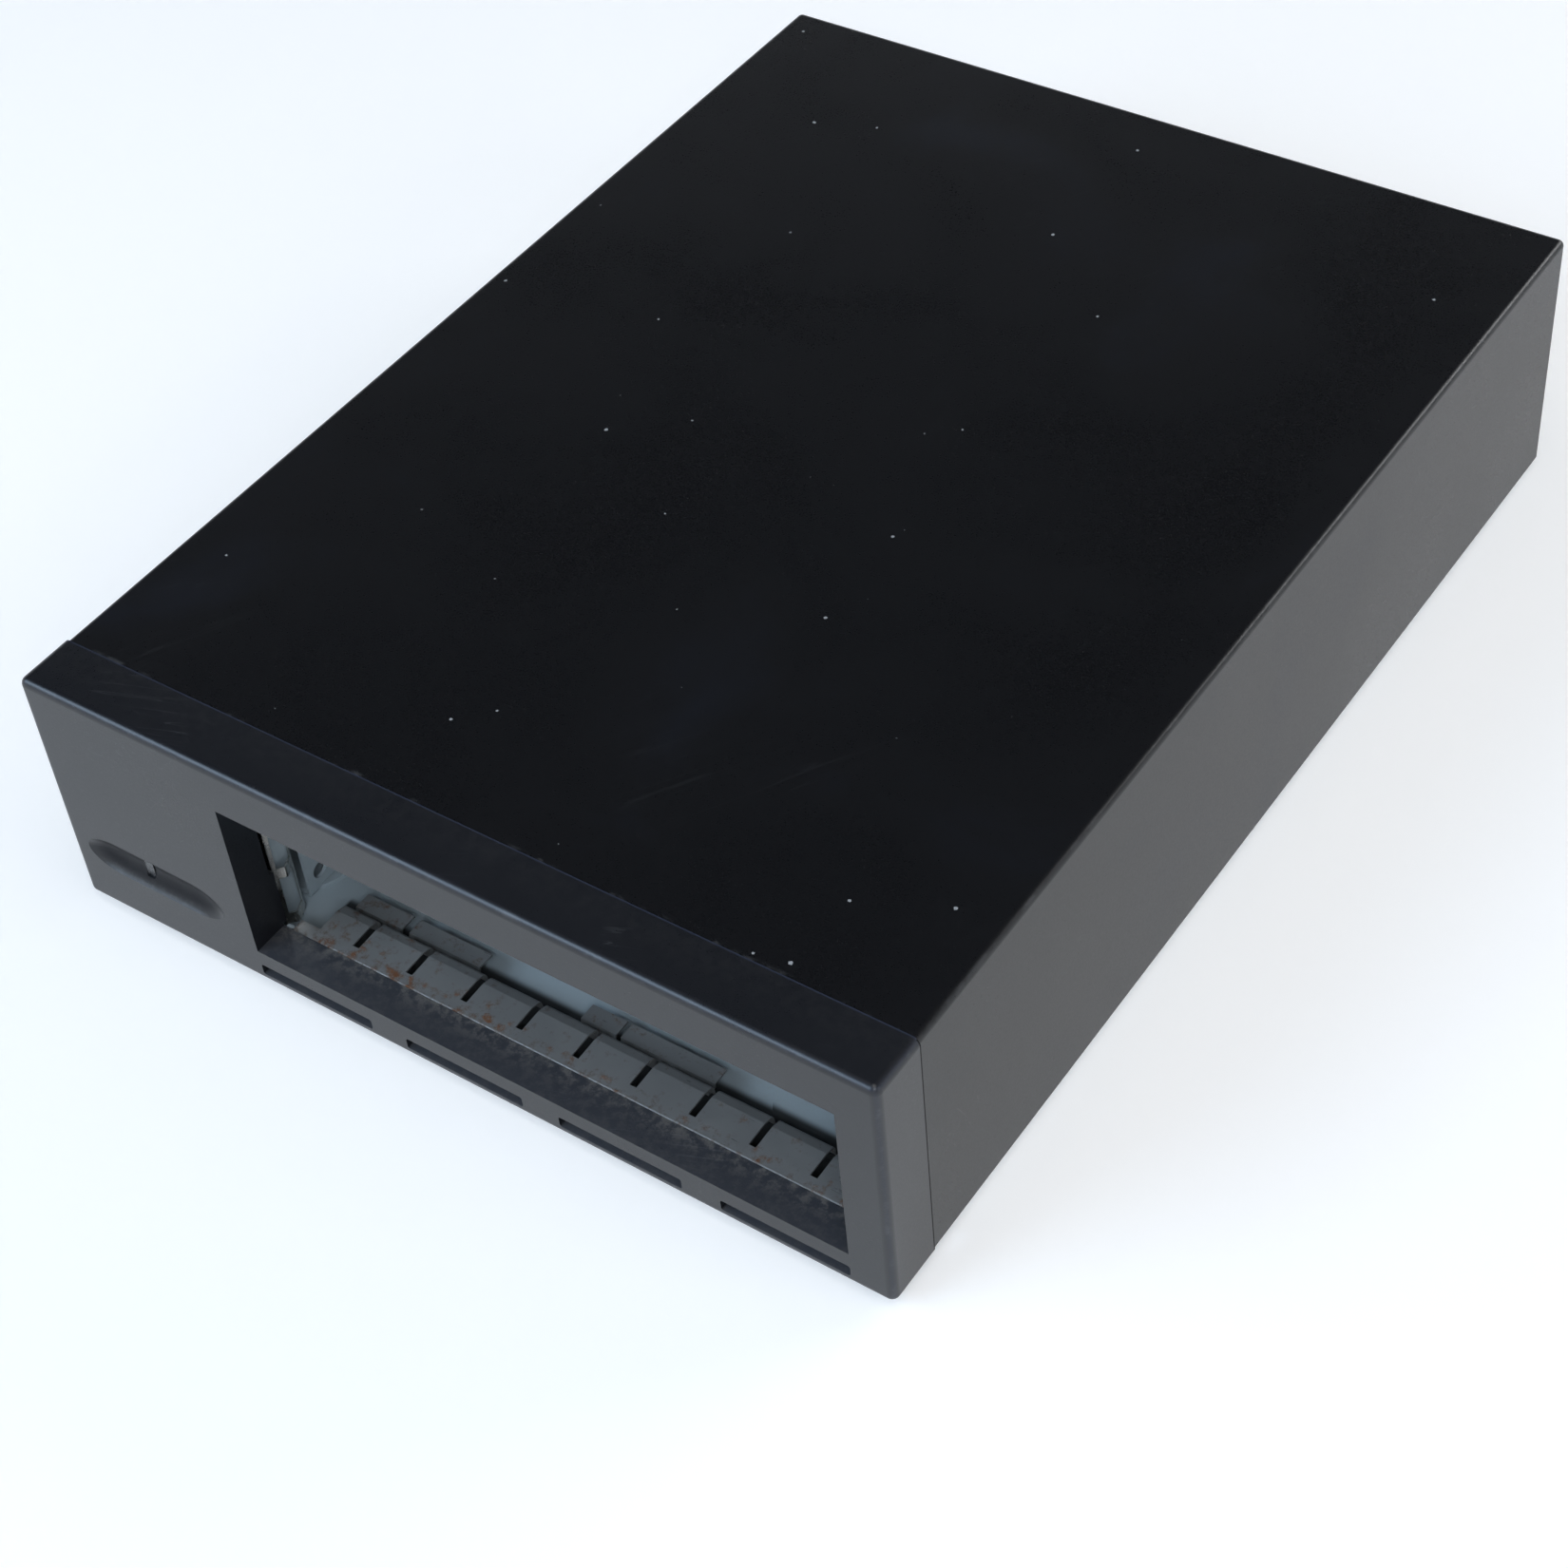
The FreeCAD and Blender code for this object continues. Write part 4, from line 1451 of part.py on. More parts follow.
def main():
    os.makedirs("parts", exist_ok=True)
    export("top_cover", top_cover())
    export("chassis_base", chassis_base())
    export("rear_panel", rear_panel())
    export("front_bezel", front_bezel())
    export("led_lens", led_lens())
    export("power_led", power_led())
    export("front_bulkhead", front_bulkhead())
    export("psu_divider", psu_divider())
    export("emi_strip_bottom", emi_strip_bottom())
    export("emi_strip_left", emi_strip_left())
    for name, side, x in zip(("left", "right"), (-1, 1), BRACKET_XS):
        export("drive_bracket_" + name, drive_bracket(side, x))
    export("bracket_screws", Part.makeCompound([bracket_screw(x, y) for x, y in BRACKET_SCREWS]))
    export("rubber_feet", Part.makeCompound([rubber_foot(x, y) for x, y in FOOT_CENTRES]))
    export("cover_screws", Part.makeCompound([
        pan_screw(x, z, CASE_D, COVER_SCREW_HEAD_R, COVER_SCREW_HEAD_H, COVER_SCREW_R, COVER_SCREW_L)
        for x, z in COVER_SCREWS]))

    export("fan_frame", fan_frame())
    export("fan_bearing", fan_bearing())
    export("fan_stator", fan_stator())
    export("fan_rotor", fan_rotor())
    export("fan_shaft", fan_shaft())
    export("fan_magnet_ring", fan_magnet_ring())
    export("fan_screws", Part.makeCompound([
        pan_screw(x, z, CASE_D, FAN_SCREW_HEAD_R, FAN_SCREW_HEAD_H, FAN_SCREW_R, FAN_SCREW_L)
        for x, z in FAN_CORNERS]))

    jacks = []
    for name, x, z in port_centres():
        export("scsi_" + name + "_shell", scsi_shell(x, z))
        export("scsi_" + name + "_insulator", scsi_insulator(x, z))
        export("scsi_" + name + "_contacts", scsi_contacts(x, z))
        jacks += [jackscrew(x + side * JACK_PITCH / 2, z) for side in (-1, 1)]
    export("scsi_jackscrews", Part.makeCompound(jacks))

    export("inlet_housing", inlet_housing())
    export("inlet_pins", Part.makeCompound([inlet_pin(x, z) for x, z in inlet_pin_places()]))
    export("switch_housing", switch_housing())
    export("power_rocker", power_rocker())
    export("switch_terminals", switch_terminals())
    export("id_switch_housing", id_switch_housing())
    export("id_digit_wheel", id_digit_wheel())
    export("id_plus_button", id_button(1))
    export("id_minus_button", id_button(-1))

    export("psu_board", psu_board())
    export("psu_standoffs", Part.makeCompound([psu_standoff(x, y) for x, y in BOARD_CORNERS]))
    export("psu_board_screws", Part.makeCompound([psu_board_screw(x, y) for x, y in BOARD_CORNERS]))
    export("psu_transformer", psu_transformer())
    export("psu_bulk_capacitors", Part.makeCompound([psu_capacitor(y) for y in CAPACITOR_YS]))
    export("psu_heatsinks", Part.makeCompound([psu_heatsink(y) for y in HEATSINK_YS]))
    export("psu_choke", psu_choke())
    export("psu_fuse", psu_fuse())
    export("psu_output_header", psu_output_header())


main()
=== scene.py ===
import json
import math

import bmesh
import bpy
from bpy.props import FloatProperty, FloatVectorProperty, IntProperty, PointerProperty
from mathutils import Matrix, Vector


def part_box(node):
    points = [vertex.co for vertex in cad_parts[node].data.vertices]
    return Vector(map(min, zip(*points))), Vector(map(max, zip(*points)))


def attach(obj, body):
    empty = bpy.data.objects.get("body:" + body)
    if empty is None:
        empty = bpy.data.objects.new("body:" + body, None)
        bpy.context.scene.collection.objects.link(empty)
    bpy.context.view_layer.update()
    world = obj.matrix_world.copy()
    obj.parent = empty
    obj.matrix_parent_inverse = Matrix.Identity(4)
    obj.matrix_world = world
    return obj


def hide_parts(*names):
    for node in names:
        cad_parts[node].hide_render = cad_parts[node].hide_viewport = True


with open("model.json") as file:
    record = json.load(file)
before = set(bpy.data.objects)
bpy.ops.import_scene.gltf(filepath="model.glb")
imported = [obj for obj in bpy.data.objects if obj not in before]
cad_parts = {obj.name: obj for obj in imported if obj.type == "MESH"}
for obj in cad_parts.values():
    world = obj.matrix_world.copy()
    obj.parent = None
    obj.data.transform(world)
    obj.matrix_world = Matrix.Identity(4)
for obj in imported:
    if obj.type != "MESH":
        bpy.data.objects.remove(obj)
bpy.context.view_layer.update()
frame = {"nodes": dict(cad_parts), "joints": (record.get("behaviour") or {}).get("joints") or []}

bl_info = {
    "name": "Tape drive enclosure",
    "version": (1, 0, 0),
    "blender": (4, 5, 0),
    "location": "3D View > Sidebar > Enclosure",
    "description": "Finishes and small parts of a desktop tape drive enclosure",
    "category": "Object",
}

MM = 0.001
DUST = (0.30, 0.28, 0.25)
SLOT_NODES = {}
for _node in frame["nodes"].values():
    SLOT_NODES.setdefault(_node.data.materials[0].name, []).append(_node)


def middle(node):
    """Middle of a node's box."""
    low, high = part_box(node)
    return (low + high) / 2


# ---- sizes and colours a user would change ----
def length(name, description, default, **limits):
    return FloatProperty(name=name, description=description, default=default, unit="LENGTH",
                         subtype="DISTANCE", precision=5, **limits)


def number(name, description, default, **limits):
    return FloatProperty(name=name, description=description, default=default, **limits)


def watts(name, description, default):
    return FloatProperty(name=name, description=description, default=default, min=0.0, unit="POWER")


def colour(name, description, default):
    return FloatVectorProperty(name=name, description=description, default=default, size=3,
                               subtype="COLOR", min=0.0, max=1.0)


class StageSettings(bpy.types.PropertyGroup):
    floor_radius: length("Floor radius", "Radius of the flat floor", 1.25, min=0.5)
    cove_radius: length("Cove radius", "Radius of the bend from floor to wall", 0.25, min=0.05)
    wall_height: length("Wall height", "Top of the low wall round the floor", 0.62, min=0.3)
    floor_colour: colour("Floor colour", "Colour of the floor and wall", (0.90, 0.88, 0.86))
    floor_glow: number("Floor glow", "Light the floor shows of its own to the eye", 0.23, min=0.0, max=1.0)
    overhead_watts: watts("Overhead lamp", "Power of the overhead lamp", 8.0)
    key_watts: watts("Key lamp", "Power of the large lamp at the front left", 21.0)
    side_watts: watts("Side lamp", "Power of the lamp at the right", 3.0)
    fill_watts: watts("Fill lamp", "Power of the lamp at the front right", 15.0)
    rear_watts: watts("Rear lamp", "Power of the lamp behind the enclosure", 24.0)
    air_colour: colour("Room colour", "Colour of the dim room above the wall", (0.012, 0.013, 0.016))
    camera_place: FloatVectorProperty(name="Camera place", description="Where the camera stands",
                                      default=(0.30174, -0.40626, 0.47525), size=3, subtype="TRANSLATION",
                                      unit="LENGTH")
    camera_turn: FloatVectorProperty(name="Camera turn", description="Azimuth, elevation and roll",
                                     default=tuple(math.radians(a) for a in (38.833, 45.335, 6.278)), size=3,
                                     subtype="EULER", unit="ROTATION")
    camera_lens: FloatProperty(name="Lens", description="Focal length of the camera", default=69.268,
                               min=10.0, unit="CAMERA")


class PaintSettings(bpy.types.PropertyGroup):
    cover: colour("Cover", "Satin black coat of the cover", (0.0060, 0.0060, 0.0068))
    chassis: colour("Chassis", "Light blue-grey paint of the chassis", (0.385, 0.442, 0.466))
    bezel: colour("Bezel", "Black of the front moulding", (0.0095, 0.0100, 0.0122))
    chip: colour("Chips", "Pale primer that shows in small chips", (0.42, 0.43, 0.44))
    dust: colour("Dust", "Colour of settled dust", DUST)
    haze: colour("Haze", "Grey film of dust on the bezel's ledges", (0.135, 0.125, 0.115))
    rust: colour("Rust", "Colour of the rust on the finger strip", (0.185, 0.072, 0.028))
    grime: colour("Grime", "Colour of the grime in corners", (0.045, 0.035, 0.028))


class ScrewSettings(bpy.types.PropertyGroup):
    recess_share: number("Recess width", "Cross recess as a share of the head's width", 0.56, min=0.2,
                         max=0.8)
    blade_share: number("Blade width", "Width of the recess's arms as a share of the head's", 0.15, min=0.05,
                        max=0.3)
    depth_share: number("Recess depth", "Depth of the recess as a share of the head's height", 0.72, min=0.2,
                        max=0.9)
    crown: number("Crown", "How full the head's dome is; lower is fuller", 0.62, min=0.2, max=1.5)
    sides: IntProperty(name="Sides", description="Facets round each head", default=40, min=12, max=96)


class MarkSettings(bpy.types.PropertyGroup):
    ink: colour("Ink", "White of the marks on the switches", (0.78, 0.79, 0.80))
    faded_ink: colour("Faded ink", "Grey of the marks on the two push keys", (0.13, 0.13, 0.135))
    ink_height: length("Ink height", "How far a mark stands above its face", 0.04 * MM, min=0.0)
    stroke: length("Stroke", "Width of the marks on the rocker", 0.75 * MM, min=0.1 * MM)
    bar_length: length("Bar length", "Length of the rocker's upper mark", 3.5 * MM, min=0.5 * MM)
    ring_width: length("Ring width", "Outside width of the rocker's lower mark", 4.0 * MM, min=0.5 * MM)
    key_mark: length("Key mark", "Length of the marks on the push keys", 1.5 * MM, min=0.2 * MM)
    numeral: length("Numeral height", "Height of the numerals on the wheel", 1.9 * MM, min=0.5 * MM)
    numerals: IntProperty(name="Numerals", description="How many numerals stand round the wheel", default=10,
                          min=2, max=10)


class LabelSettings(bpy.types.PropertyGroup):
    paper: colour("Label paper", "White of the bare labels", (0.86, 0.87, 0.89))
    hub_colour: colour("Hub label", "Green half of the fan's label", (0.028, 0.20, 0.065))
    thickness: length("Label thickness", "Thickness of a label", 0.09 * MM, min=0.01 * MM)
    pill_width: length("Tall label width", "Width of the tall rounded label", 6.0 * MM, min=1 * MM)
    pill_height: length("Tall label height", "Height of the tall rounded label", 33.0 * MM, min=5 * MM)
    strip_width: length("Small label width", "Width of the small label", 19.9 * MM, min=1 * MM)
    strip_height: length("Small label height", "Height of the small label", 5.0 * MM, min=1 * MM)
    hub_radius: length("Hub label radius", "Radius of the fan's label", 13.4 * MM, min=1 * MM)


# ---- node helpers ----
FLOAT, VECTOR, COLOUR = "NodeSocketFloat", "NodeSocketVector", "NodeSocketColor"
COLUMNS, COLUMN_STEP, ROW_STEP = 12, 190, -230


def put(tree, kind, settings=None, **inputs):
    """Adds a node, sets its own settings, and sets or links the inputs named."""
    node = tree.nodes.new(kind)
    row, column = divmod(len(tree.nodes), COLUMNS)
    node.location = (COLUMN_STEP * column, ROW_STEP * row)
    for key, value in (settings or {}).items():
        setattr(node, key, value)
    wire(tree, node, **inputs)
    return node


def wire(tree, node, **inputs):
    """Sets or links the inputs named, with _ for each space in a name."""
    for key, value in inputs.items():
        feed(tree, node.inputs[key.replace("_", " ")], value)


def feed(tree, socket, value):
    """Links a socket to an input, or sets the input's value."""
    if isinstance(value, bpy.types.NodeSocket):
        tree.links.new(value, socket)
    elif socket.type == "RGBA" and len(value) == 3:
        socket.default_value = (*value, 1.0)
    else:
        socket.default_value = value


def worked(tree, kind, settings, values):
    """First output of a node that works on values, given in the order of its inputs."""
    node = put(tree, kind, settings)
    for socket, value in zip(node.inputs, values):
        feed(tree, socket, value)
    return node.outputs[0]


def calc(tree, operation, *values, clamp=False):
    return worked(tree, "ShaderNodeMath", {"operation": operation, "use_clamp": clamp}, values)


def times(tree, first, second, clamp=False):
    return calc(tree, "MULTIPLY", first, second, clamp=clamp)


def plus(tree, first, second, clamp=False):
    return calc(tree, "ADD", first, second, clamp=clamp)


def minus(tree, first, second, clamp=False):
    return calc(tree, "SUBTRACT", first, second, clamp=clamp)


def vector_calc(tree, operation, *values):
    return worked(tree, "ShaderNodeVectorMath", {"operation": operation}, values)


def ramp(tree, value, low, high, to_low=0.0, to_high=1.0, smooth=True):
    """Value taken from one span to another, held at its ends."""
    kind = "SMOOTHSTEP" if smooth else "LINEAR"
    return put(tree, "ShaderNodeMapRange", {"interpolation_type": kind}, Value=value, From_Min=low,
               From_Max=high, To_Min=to_low, To_Max=to_high).outputs["Result"]


def place_of(tree):
    """Object coordinates, in metres."""
    return put(tree, "ShaderNodeTexCoord").outputs["Object"]


def parts_of(tree, vector):
    return put(tree, "ShaderNodeSeparateXYZ", Vector=vector).outputs[:3]


def vector_of(tree, **parts):
    return put(tree, "ShaderNodeCombineXYZ", **parts).outputs[0]


def upward(tree):
    """How far a face looks up: 1 on a level top."""
    return parts_of(tree, put(tree, "ShaderNodeNewGeometry").outputs["True Normal"])[2]


def mapped(tree, vector, place=(0, 0, 0), turn=(0, 0, 0), scale=(1, 1, 1)):
    return put(tree, "ShaderNodeMapping", Vector=vector, Location=place, Rotation=turn,
               Scale=scale).outputs[0]


def noise(tree, vector, scale, detail=3.0, rough=0.55, warp=0.0):
    return put(tree, "ShaderNodeTexNoise", Vector=vector, Scale=scale, Detail=detail, Roughness=rough,
               Distortion=warp).outputs["Fac"]


def shade(base, factor):
    return tuple(min(1.0, c * factor) for c in base)


def mix_colour(tree, share, first, second):
    node = put(tree, "ShaderNodeMix", {"data_type": "RGBA"})
    factor, first_colour, second_colour = (node.inputs[i] for i in (0, 6, 7))
    for socket, value in ((factor, share), (first_colour, first), (second_colour, second)):
        feed(tree, socket, value)
    return node.outputs[2]


def varied(tree, share, base, darkest, lightest):
    """A colour that wanders between a darker and a lighter shade of itself."""
    return mix_colour(tree, share, shade(base, darkest), shade(base, lightest))


def over(tree, tone, colour, mask, strength=None):
    """Lays a colour over a tone where a mask shows, at the strength given."""
    return mix_colour(tree, mask if strength is None else times(tree, mask, strength), tone, colour)


def bump(tree, height, distance, strength, under=None):
    node = put(tree, "ShaderNodeBump", Height=height, Distance=distance, Strength=strength)
    if under is not None:
        tree.links.new(under, node.inputs["Normal"])
    return node.outputs[0]


# ---- effects that several finishes share ----
def shared_effect(name, outputs, **inputs):
    """Makes a function's nodes one shader group, built once and placed in a finish with its own values."""
    def build(body):
        tree = bpy.data.node_groups.new(name, "ShaderNodeTree")
        for key, given in {"Place": VECTOR, **inputs}.items():
            kind = given if given in (VECTOR, COLOUR) else FLOAT
            socket = tree.interface.new_socket(name=key.replace("_", " "), in_out="INPUT", socket_type=kind)
            if kind == FLOAT:
                socket.default_value = given
        for key, kind in outputs.items():
            tree.interface.new_socket(name=key, in_out="OUTPUT", socket_type=kind)
        entry = tree.nodes.new("NodeGroupInput")
        leave = tree.nodes.new("NodeGroupOutput")
        for key, socket in body(tree, entry.outputs).items():
            tree.links.new(socket, leave.inputs[key])
        return tree

    def wrap(body):
        def place_in(tree, place, **values):
            group = bpy.data.node_groups.get(name) or build(body)
            return put(tree, "ShaderNodeGroup", {"node_tree": group}, Place=place, **values).outputs
        return place_in
    return wrap


@shared_effect("sparse chips", {"Mask": FLOAT, "Tone": FLOAT}, Cells=60.0, Size=0.3 * MM, Share=0.3)
def sparse_chips(tree, given):
    """Small sparse chips: round specks of uneven size, one at most in each cell."""
    wobble = put(tree, "ShaderNodeTexNoise", Vector=given["Place"], Scale=2400.0, Detail=2.0)
    shift = put(tree, "ShaderNodeVectorMath", {"operation": "SCALE"}, Vector=wobble.outputs["Color"],
                Scale=0.4 * MM)
    moved = vector_calc(tree, "ADD", given["Place"], shift.outputs[0])
    cells = put(tree, "ShaderNodeTexVoronoi", Vector=moved, Scale=given["Cells"])
    red, green, blue = parts_of(tree, cells.outputs["Color"])
    size = times(tree, given["Size"], ramp(tree, green, 0.0, 1.0, 0.25, 1.0))
    near = calc(tree, "LESS_THAN", cells.outputs["Distance"], times(tree, size, given["Cells"]))
    kept = calc(tree, "LESS_THAN", red, given["Share"])
    return {"Mask": times(tree, near, kept), "Tone": blue}


@shared_effect("long scuffs", {"Mask": FLOAT}, Turn=0.4, Fineness=260.0, Patches=14.0)
def long_scuffs(tree, given):
    """Long fine scuffs in one direction, broken up by a broad mask."""
    turned = put(tree, "ShaderNodeVectorRotate", {"rotation_type": "Z_AXIS"}, Vector=given["Place"],
                 Angle=given["Turn"]).outputs[0]
    drawn = vector_calc(tree, "MULTIPLY", turned, (1.0, 0.045, 1.0))
    lines = noise(tree, drawn, given["Fineness"], detail=2.0, rough=0.4)
    thin = calc(tree, "COMPARE", lines, 0.5, 0.006)
    patch = ramp(tree, noise(tree, given["Place"], given["Patches"], detail=1.0), 0.56, 0.70)
    return {"Mask": times(tree, thin, patch)}


@shared_effect("coat skin", {"Height": FLOAT, "Roughness": FLOAT, "Smudge": FLOAT}, Grain=1800.0,
               Smudges=18.0, Roughness=0.4, Change=0.2, Grain_Change=0.1)
def coat_skin(tree, given):
    """Surface skin of a coat or a moulding: fine height, with broad smudges that change its gloss."""
    fine = noise(tree, given["Place"], given["Grain"], detail=2.0, rough=0.6)
    broad = noise(tree, given["Place"], given["Smudges"], detail=4.0, rough=0.6, warp=0.6)
    change = times(tree, minus(tree, broad, 0.5), given["Change"])
    speck = times(tree, minus(tree, fine, 0.5), given["Grain Change"])
    rough = plus(tree, plus(tree, given["Roughness"], change), speck, clamp=True)
    return {"Height": fine, "Roughness": rough, "Smudge": broad}


@shared_effect("box edge wear", {"Mask": FLOAT, "Edge": FLOAT}, Low=VECTOR, High=VECTOR, Width=1.2 * MM,
               Breaks=90.0)
def edge_wear(tree, given):
    """Wear along the edges of a box: where two of its faces meet, broken up by noise; Edge is the whole
    unbroken band, which also carries the bezel's painted highlight.
    """
    near = []
    for value, start, end in zip(*(parts_of(tree, given[key]) for key in ("Place", "Low", "High"))):
        to_side = calc(tree, "MINIMUM", minus(tree, value, start), minus(tree, end, value))
        near.append(ramp(tree, to_side, 0.0, given["Width"], 1.0, 0.0))
    pairs = [times(tree, near[i], near[j]) for i, j in ((0, 1), (1, 2), (0, 2))]
    edge = calc(tree, "MAXIMUM", calc(tree, "MAXIMUM", pairs[0], pairs[1]), pairs[2])
    broken = ramp(tree, noise(tree, given["Place"], given["Breaks"], detail=5.0, rough=0.7), 0.50, 0.66)
    return {"Mask": times(tree, edge, broken), "Edge": edge}


@shared_effect("settled dust", {"Mask": FLOAT}, Patches=40.0, Amount=0.5)
def settled_dust(tree, given):
    """Dust that settles on faces that look up, thicker in patches."""
    level = ramp(tree, upward(tree), 0.35, 0.95)
    patch = ramp(tree, noise(tree, given["Place"], given["Patches"], detail=6.0, rough=0.7), 0.40, 0.72)
    grit = ramp(tree, noise(tree, given["Place"], 1600.0, detail=2.0), 0.44, 0.64)
    mask = times(tree, times(tree, level, patch), plus(tree, 0.45, times(tree, grit, 0.55)))
    return {"Mask": times(tree, mask, given["Amount"], clamp=True)}


@shared_effect("metal grain", {"Height": FLOAT, "Roughness": FLOAT, "Cloud": FLOAT}, Stretch=VECTOR,
               Fineness=900.0, Clouds=60.0, Roughness=0.3)
def metal_grain(tree, given):
    """Rolling or turning lines of bare metal, along one direction."""
    drawn = vector_calc(tree, "MULTIPLY", given["Place"], given["Stretch"])
    lines = noise(tree, drawn, given["Fineness"], detail=4.0, rough=0.65)
    cloud = noise(tree, given["Place"], given["Clouds"], detail=3.0)
    change = plus(tree, times(tree, minus(tree, lines, 0.5), 0.22),
                  times(tree, minus(tree, cloud, 0.5), 0.25))
    rough = plus(tree, given["Roughness"], change, clamp=True)
    return {"Height": lines, "Roughness": rough, "Cloud": cloud}


@shared_effect("rust", {"Crust": FLOAT, "Stain": FLOAT, "Colour": COLOUR, "Height": FLOAT}, Blotches=110.0,
               Spread=0.0, Dark=COLOUR, Bright=COLOUR)
def rust_bloom(tree, given):
    """Rust: blotches that eat outwards from pits, with a darker heart and a thin stain round them."""
    coarse = noise(tree, given["Place"], given["Blotches"], detail=6.0, rough=0.66)
    fine = noise(tree, given["Place"], 900.0, detail=4.0, rough=0.7)
    level = plus(tree, plus(tree, coarse, times(tree, minus(tree, fine, 0.5), 0.22)), given["Spread"])
    crust = ramp(tree, level, 0.60, 0.74)
    tone = mix_colour(tree, fine, given["Dark"], given["Bright"])
    return {"Crust": crust, "Stain": ramp(tree, level, 0.50, 0.68), "Colour": tone,
            "Height": times(tree, crust, fine)}


# ---- finishes ----
RELIEF, FINE_RELIEF = 0.02 * MM, 0.01 * MM          # depth of the grain of a moulding or coat, and of metal


def blank_finish(name):
    """A material with an empty tree."""
    finish = bpy.data.materials.new(name)
    finish.use_nodes = True
    finish.node_tree.nodes.clear()
    return finish, finish.node_tree


def new_finish(name, **constants):
    """A material, its tree, its surface shader and its place; constants go on the shader's own sockets."""
    finish, tree = blank_finish(name)
    surface = put(tree, "ShaderNodeBsdfPrincipled", **constants)
    put(tree, "ShaderNodeOutputMaterial", Surface=surface.outputs[0])
    return finish, tree, surface, place_of(tree)


def finish_slot(slot, finish):
    """Puts a finish on every node of one of the record's slots."""
    if slot not in SLOT_NODES:
        raise RuntimeError("no node has the slot " + slot)
    for node in SLOT_NODES[slot]:
        for holder in node.material_slots:
            holder.material = finish


def cover_coat(paint):
    """Satin black powder coat with faint smudges, scuffs, worn edges and tiny pale chips."""
    smear_blue = (0.0085, 0.0100, 0.0155)
    finish, tree, surface, place = new_finish("satin black cover coat", IOR=1.42)
    skin = coat_skin(tree, place, Grain=2300.0, Smudges=16.0, Roughness=0.30, Change=0.12, Grain_Change=0.16)
    low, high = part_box("top_cover")
    worn = edge_wear(tree, place, Low=low, High=high, Width=1.1 * MM, Breaks=120.0)
    chips = sparse_chips(tree, place, Cells=150.0, Size=0.48 * MM, Share=0.40)
    specks = sparse_chips(tree, mapped(tree, place, place=(0.31, 0.17, 0.05)), Cells=170.0, Size=0.13 * MM,
                          Share=0.30)
    scuffs = long_scuffs(tree, place, Turn=0.55, Fineness=240.0, Patches=13.0)
    skirt = ramp(tree, parts_of(tree, place)[2], 4 * MM, 22 * MM, 1.0, 0.0)
    tone = varied(tree, skin["Smudge"], paint.cover, 0.8, 1.25)
    tone = over(tree, tone, smear_blue, ramp(tree, skin["Smudge"], 0.56, 0.74), 0.4)
    tone = over(tree, tone, paint.chip, scuffs["Mask"], 0.008)
    tone = over(tree, tone, paint.dust, specks["Mask"], plus(tree, 0.22, times(tree, skirt, 0.5)))
    tone = over(tree, tone, paint.chip, chips["Mask"], ramp(tree, chips["Tone"], 0.0, 1.0, 0.1, 0.75))
    tone = over(tree, tone, shade(paint.chip, 0.35), worn["Mask"], 0.35)
    wire(tree, surface, Base_Color=tone, Normal=bump(tree, skin["Height"], RELIEF, 0.35),
         Roughness=plus(tree, skin["Roughness"], times(tree, scuffs["Mask"], 0.02)))
    return finish


def chassis_coat(paint):
    """Light blue-grey paint with a soft peel, grime, dust on the floor and painted shade on the floor under
    the finger strip.
    """
    chip_grey, painted_shade_black = (0.08, 0.08, 0.085), (0.012, 0.010, 0.009)
    finish, tree, surface, place = new_finish("blue-grey chassis paint", IOR=1.48)
    skin = coat_skin(tree, place, Grain=1300.0, Smudges=22.0, Roughness=0.42, Change=0.14, Grain_Change=0.08)
    cloud = noise(tree, mapped(tree, place, place=(0.2, 0.1, 0.4)), 34.0, detail=6.0, rough=0.7)
    dust = settled_dust(tree, place, Patches=55.0, Amount=0.16)
    chips = sparse_chips(tree, place, Cells=70.0, Size=0.22 * MM, Share=0.12)
    low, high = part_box("emi_strip_bottom")
    x, y, z = parts_of(tree, place)
    # painted shade: the floor under the finger strip is drawn nearly black, as if in its shadow
    before = ramp(tree, y, high.y - 1.5 * MM, high.y + 0.5 * MM, 0.92, 0.0)
    below = ramp(tree, z, high.z - 0.5 * MM, high.z + MM, 1.0, 0.0)
    beside = ramp(tree, x, low.x - MM, low.x)
    above = ramp(tree, z, low.z - 12 * MM, low.z - 11 * MM)
    painted_shade_under_strip = times(tree, times(tree, before, below), times(tree, beside, above))
    tone = varied(tree, skin["Smudge"], paint.chassis, 0.92, 1.06)
    tone = over(tree, tone, paint.grime, ramp(tree, cloud, 0.58, 0.78), 0.20)
    tone = over(tree, tone, paint.dust, dust["Mask"])
    tone = over(tree, tone, chip_grey, chips["Mask"], 0.6)
    tone = over(tree, tone, painted_shade_black, painted_shade_under_strip)
    wire(tree, surface, Base_Color=tone, Normal=bump(tree, skin["Height"], RELIEF, 0.25),
         Roughness=plus(tree, skin["Roughness"], times(tree, painted_shade_under_strip, 0.4), clamp=True))
    return finish


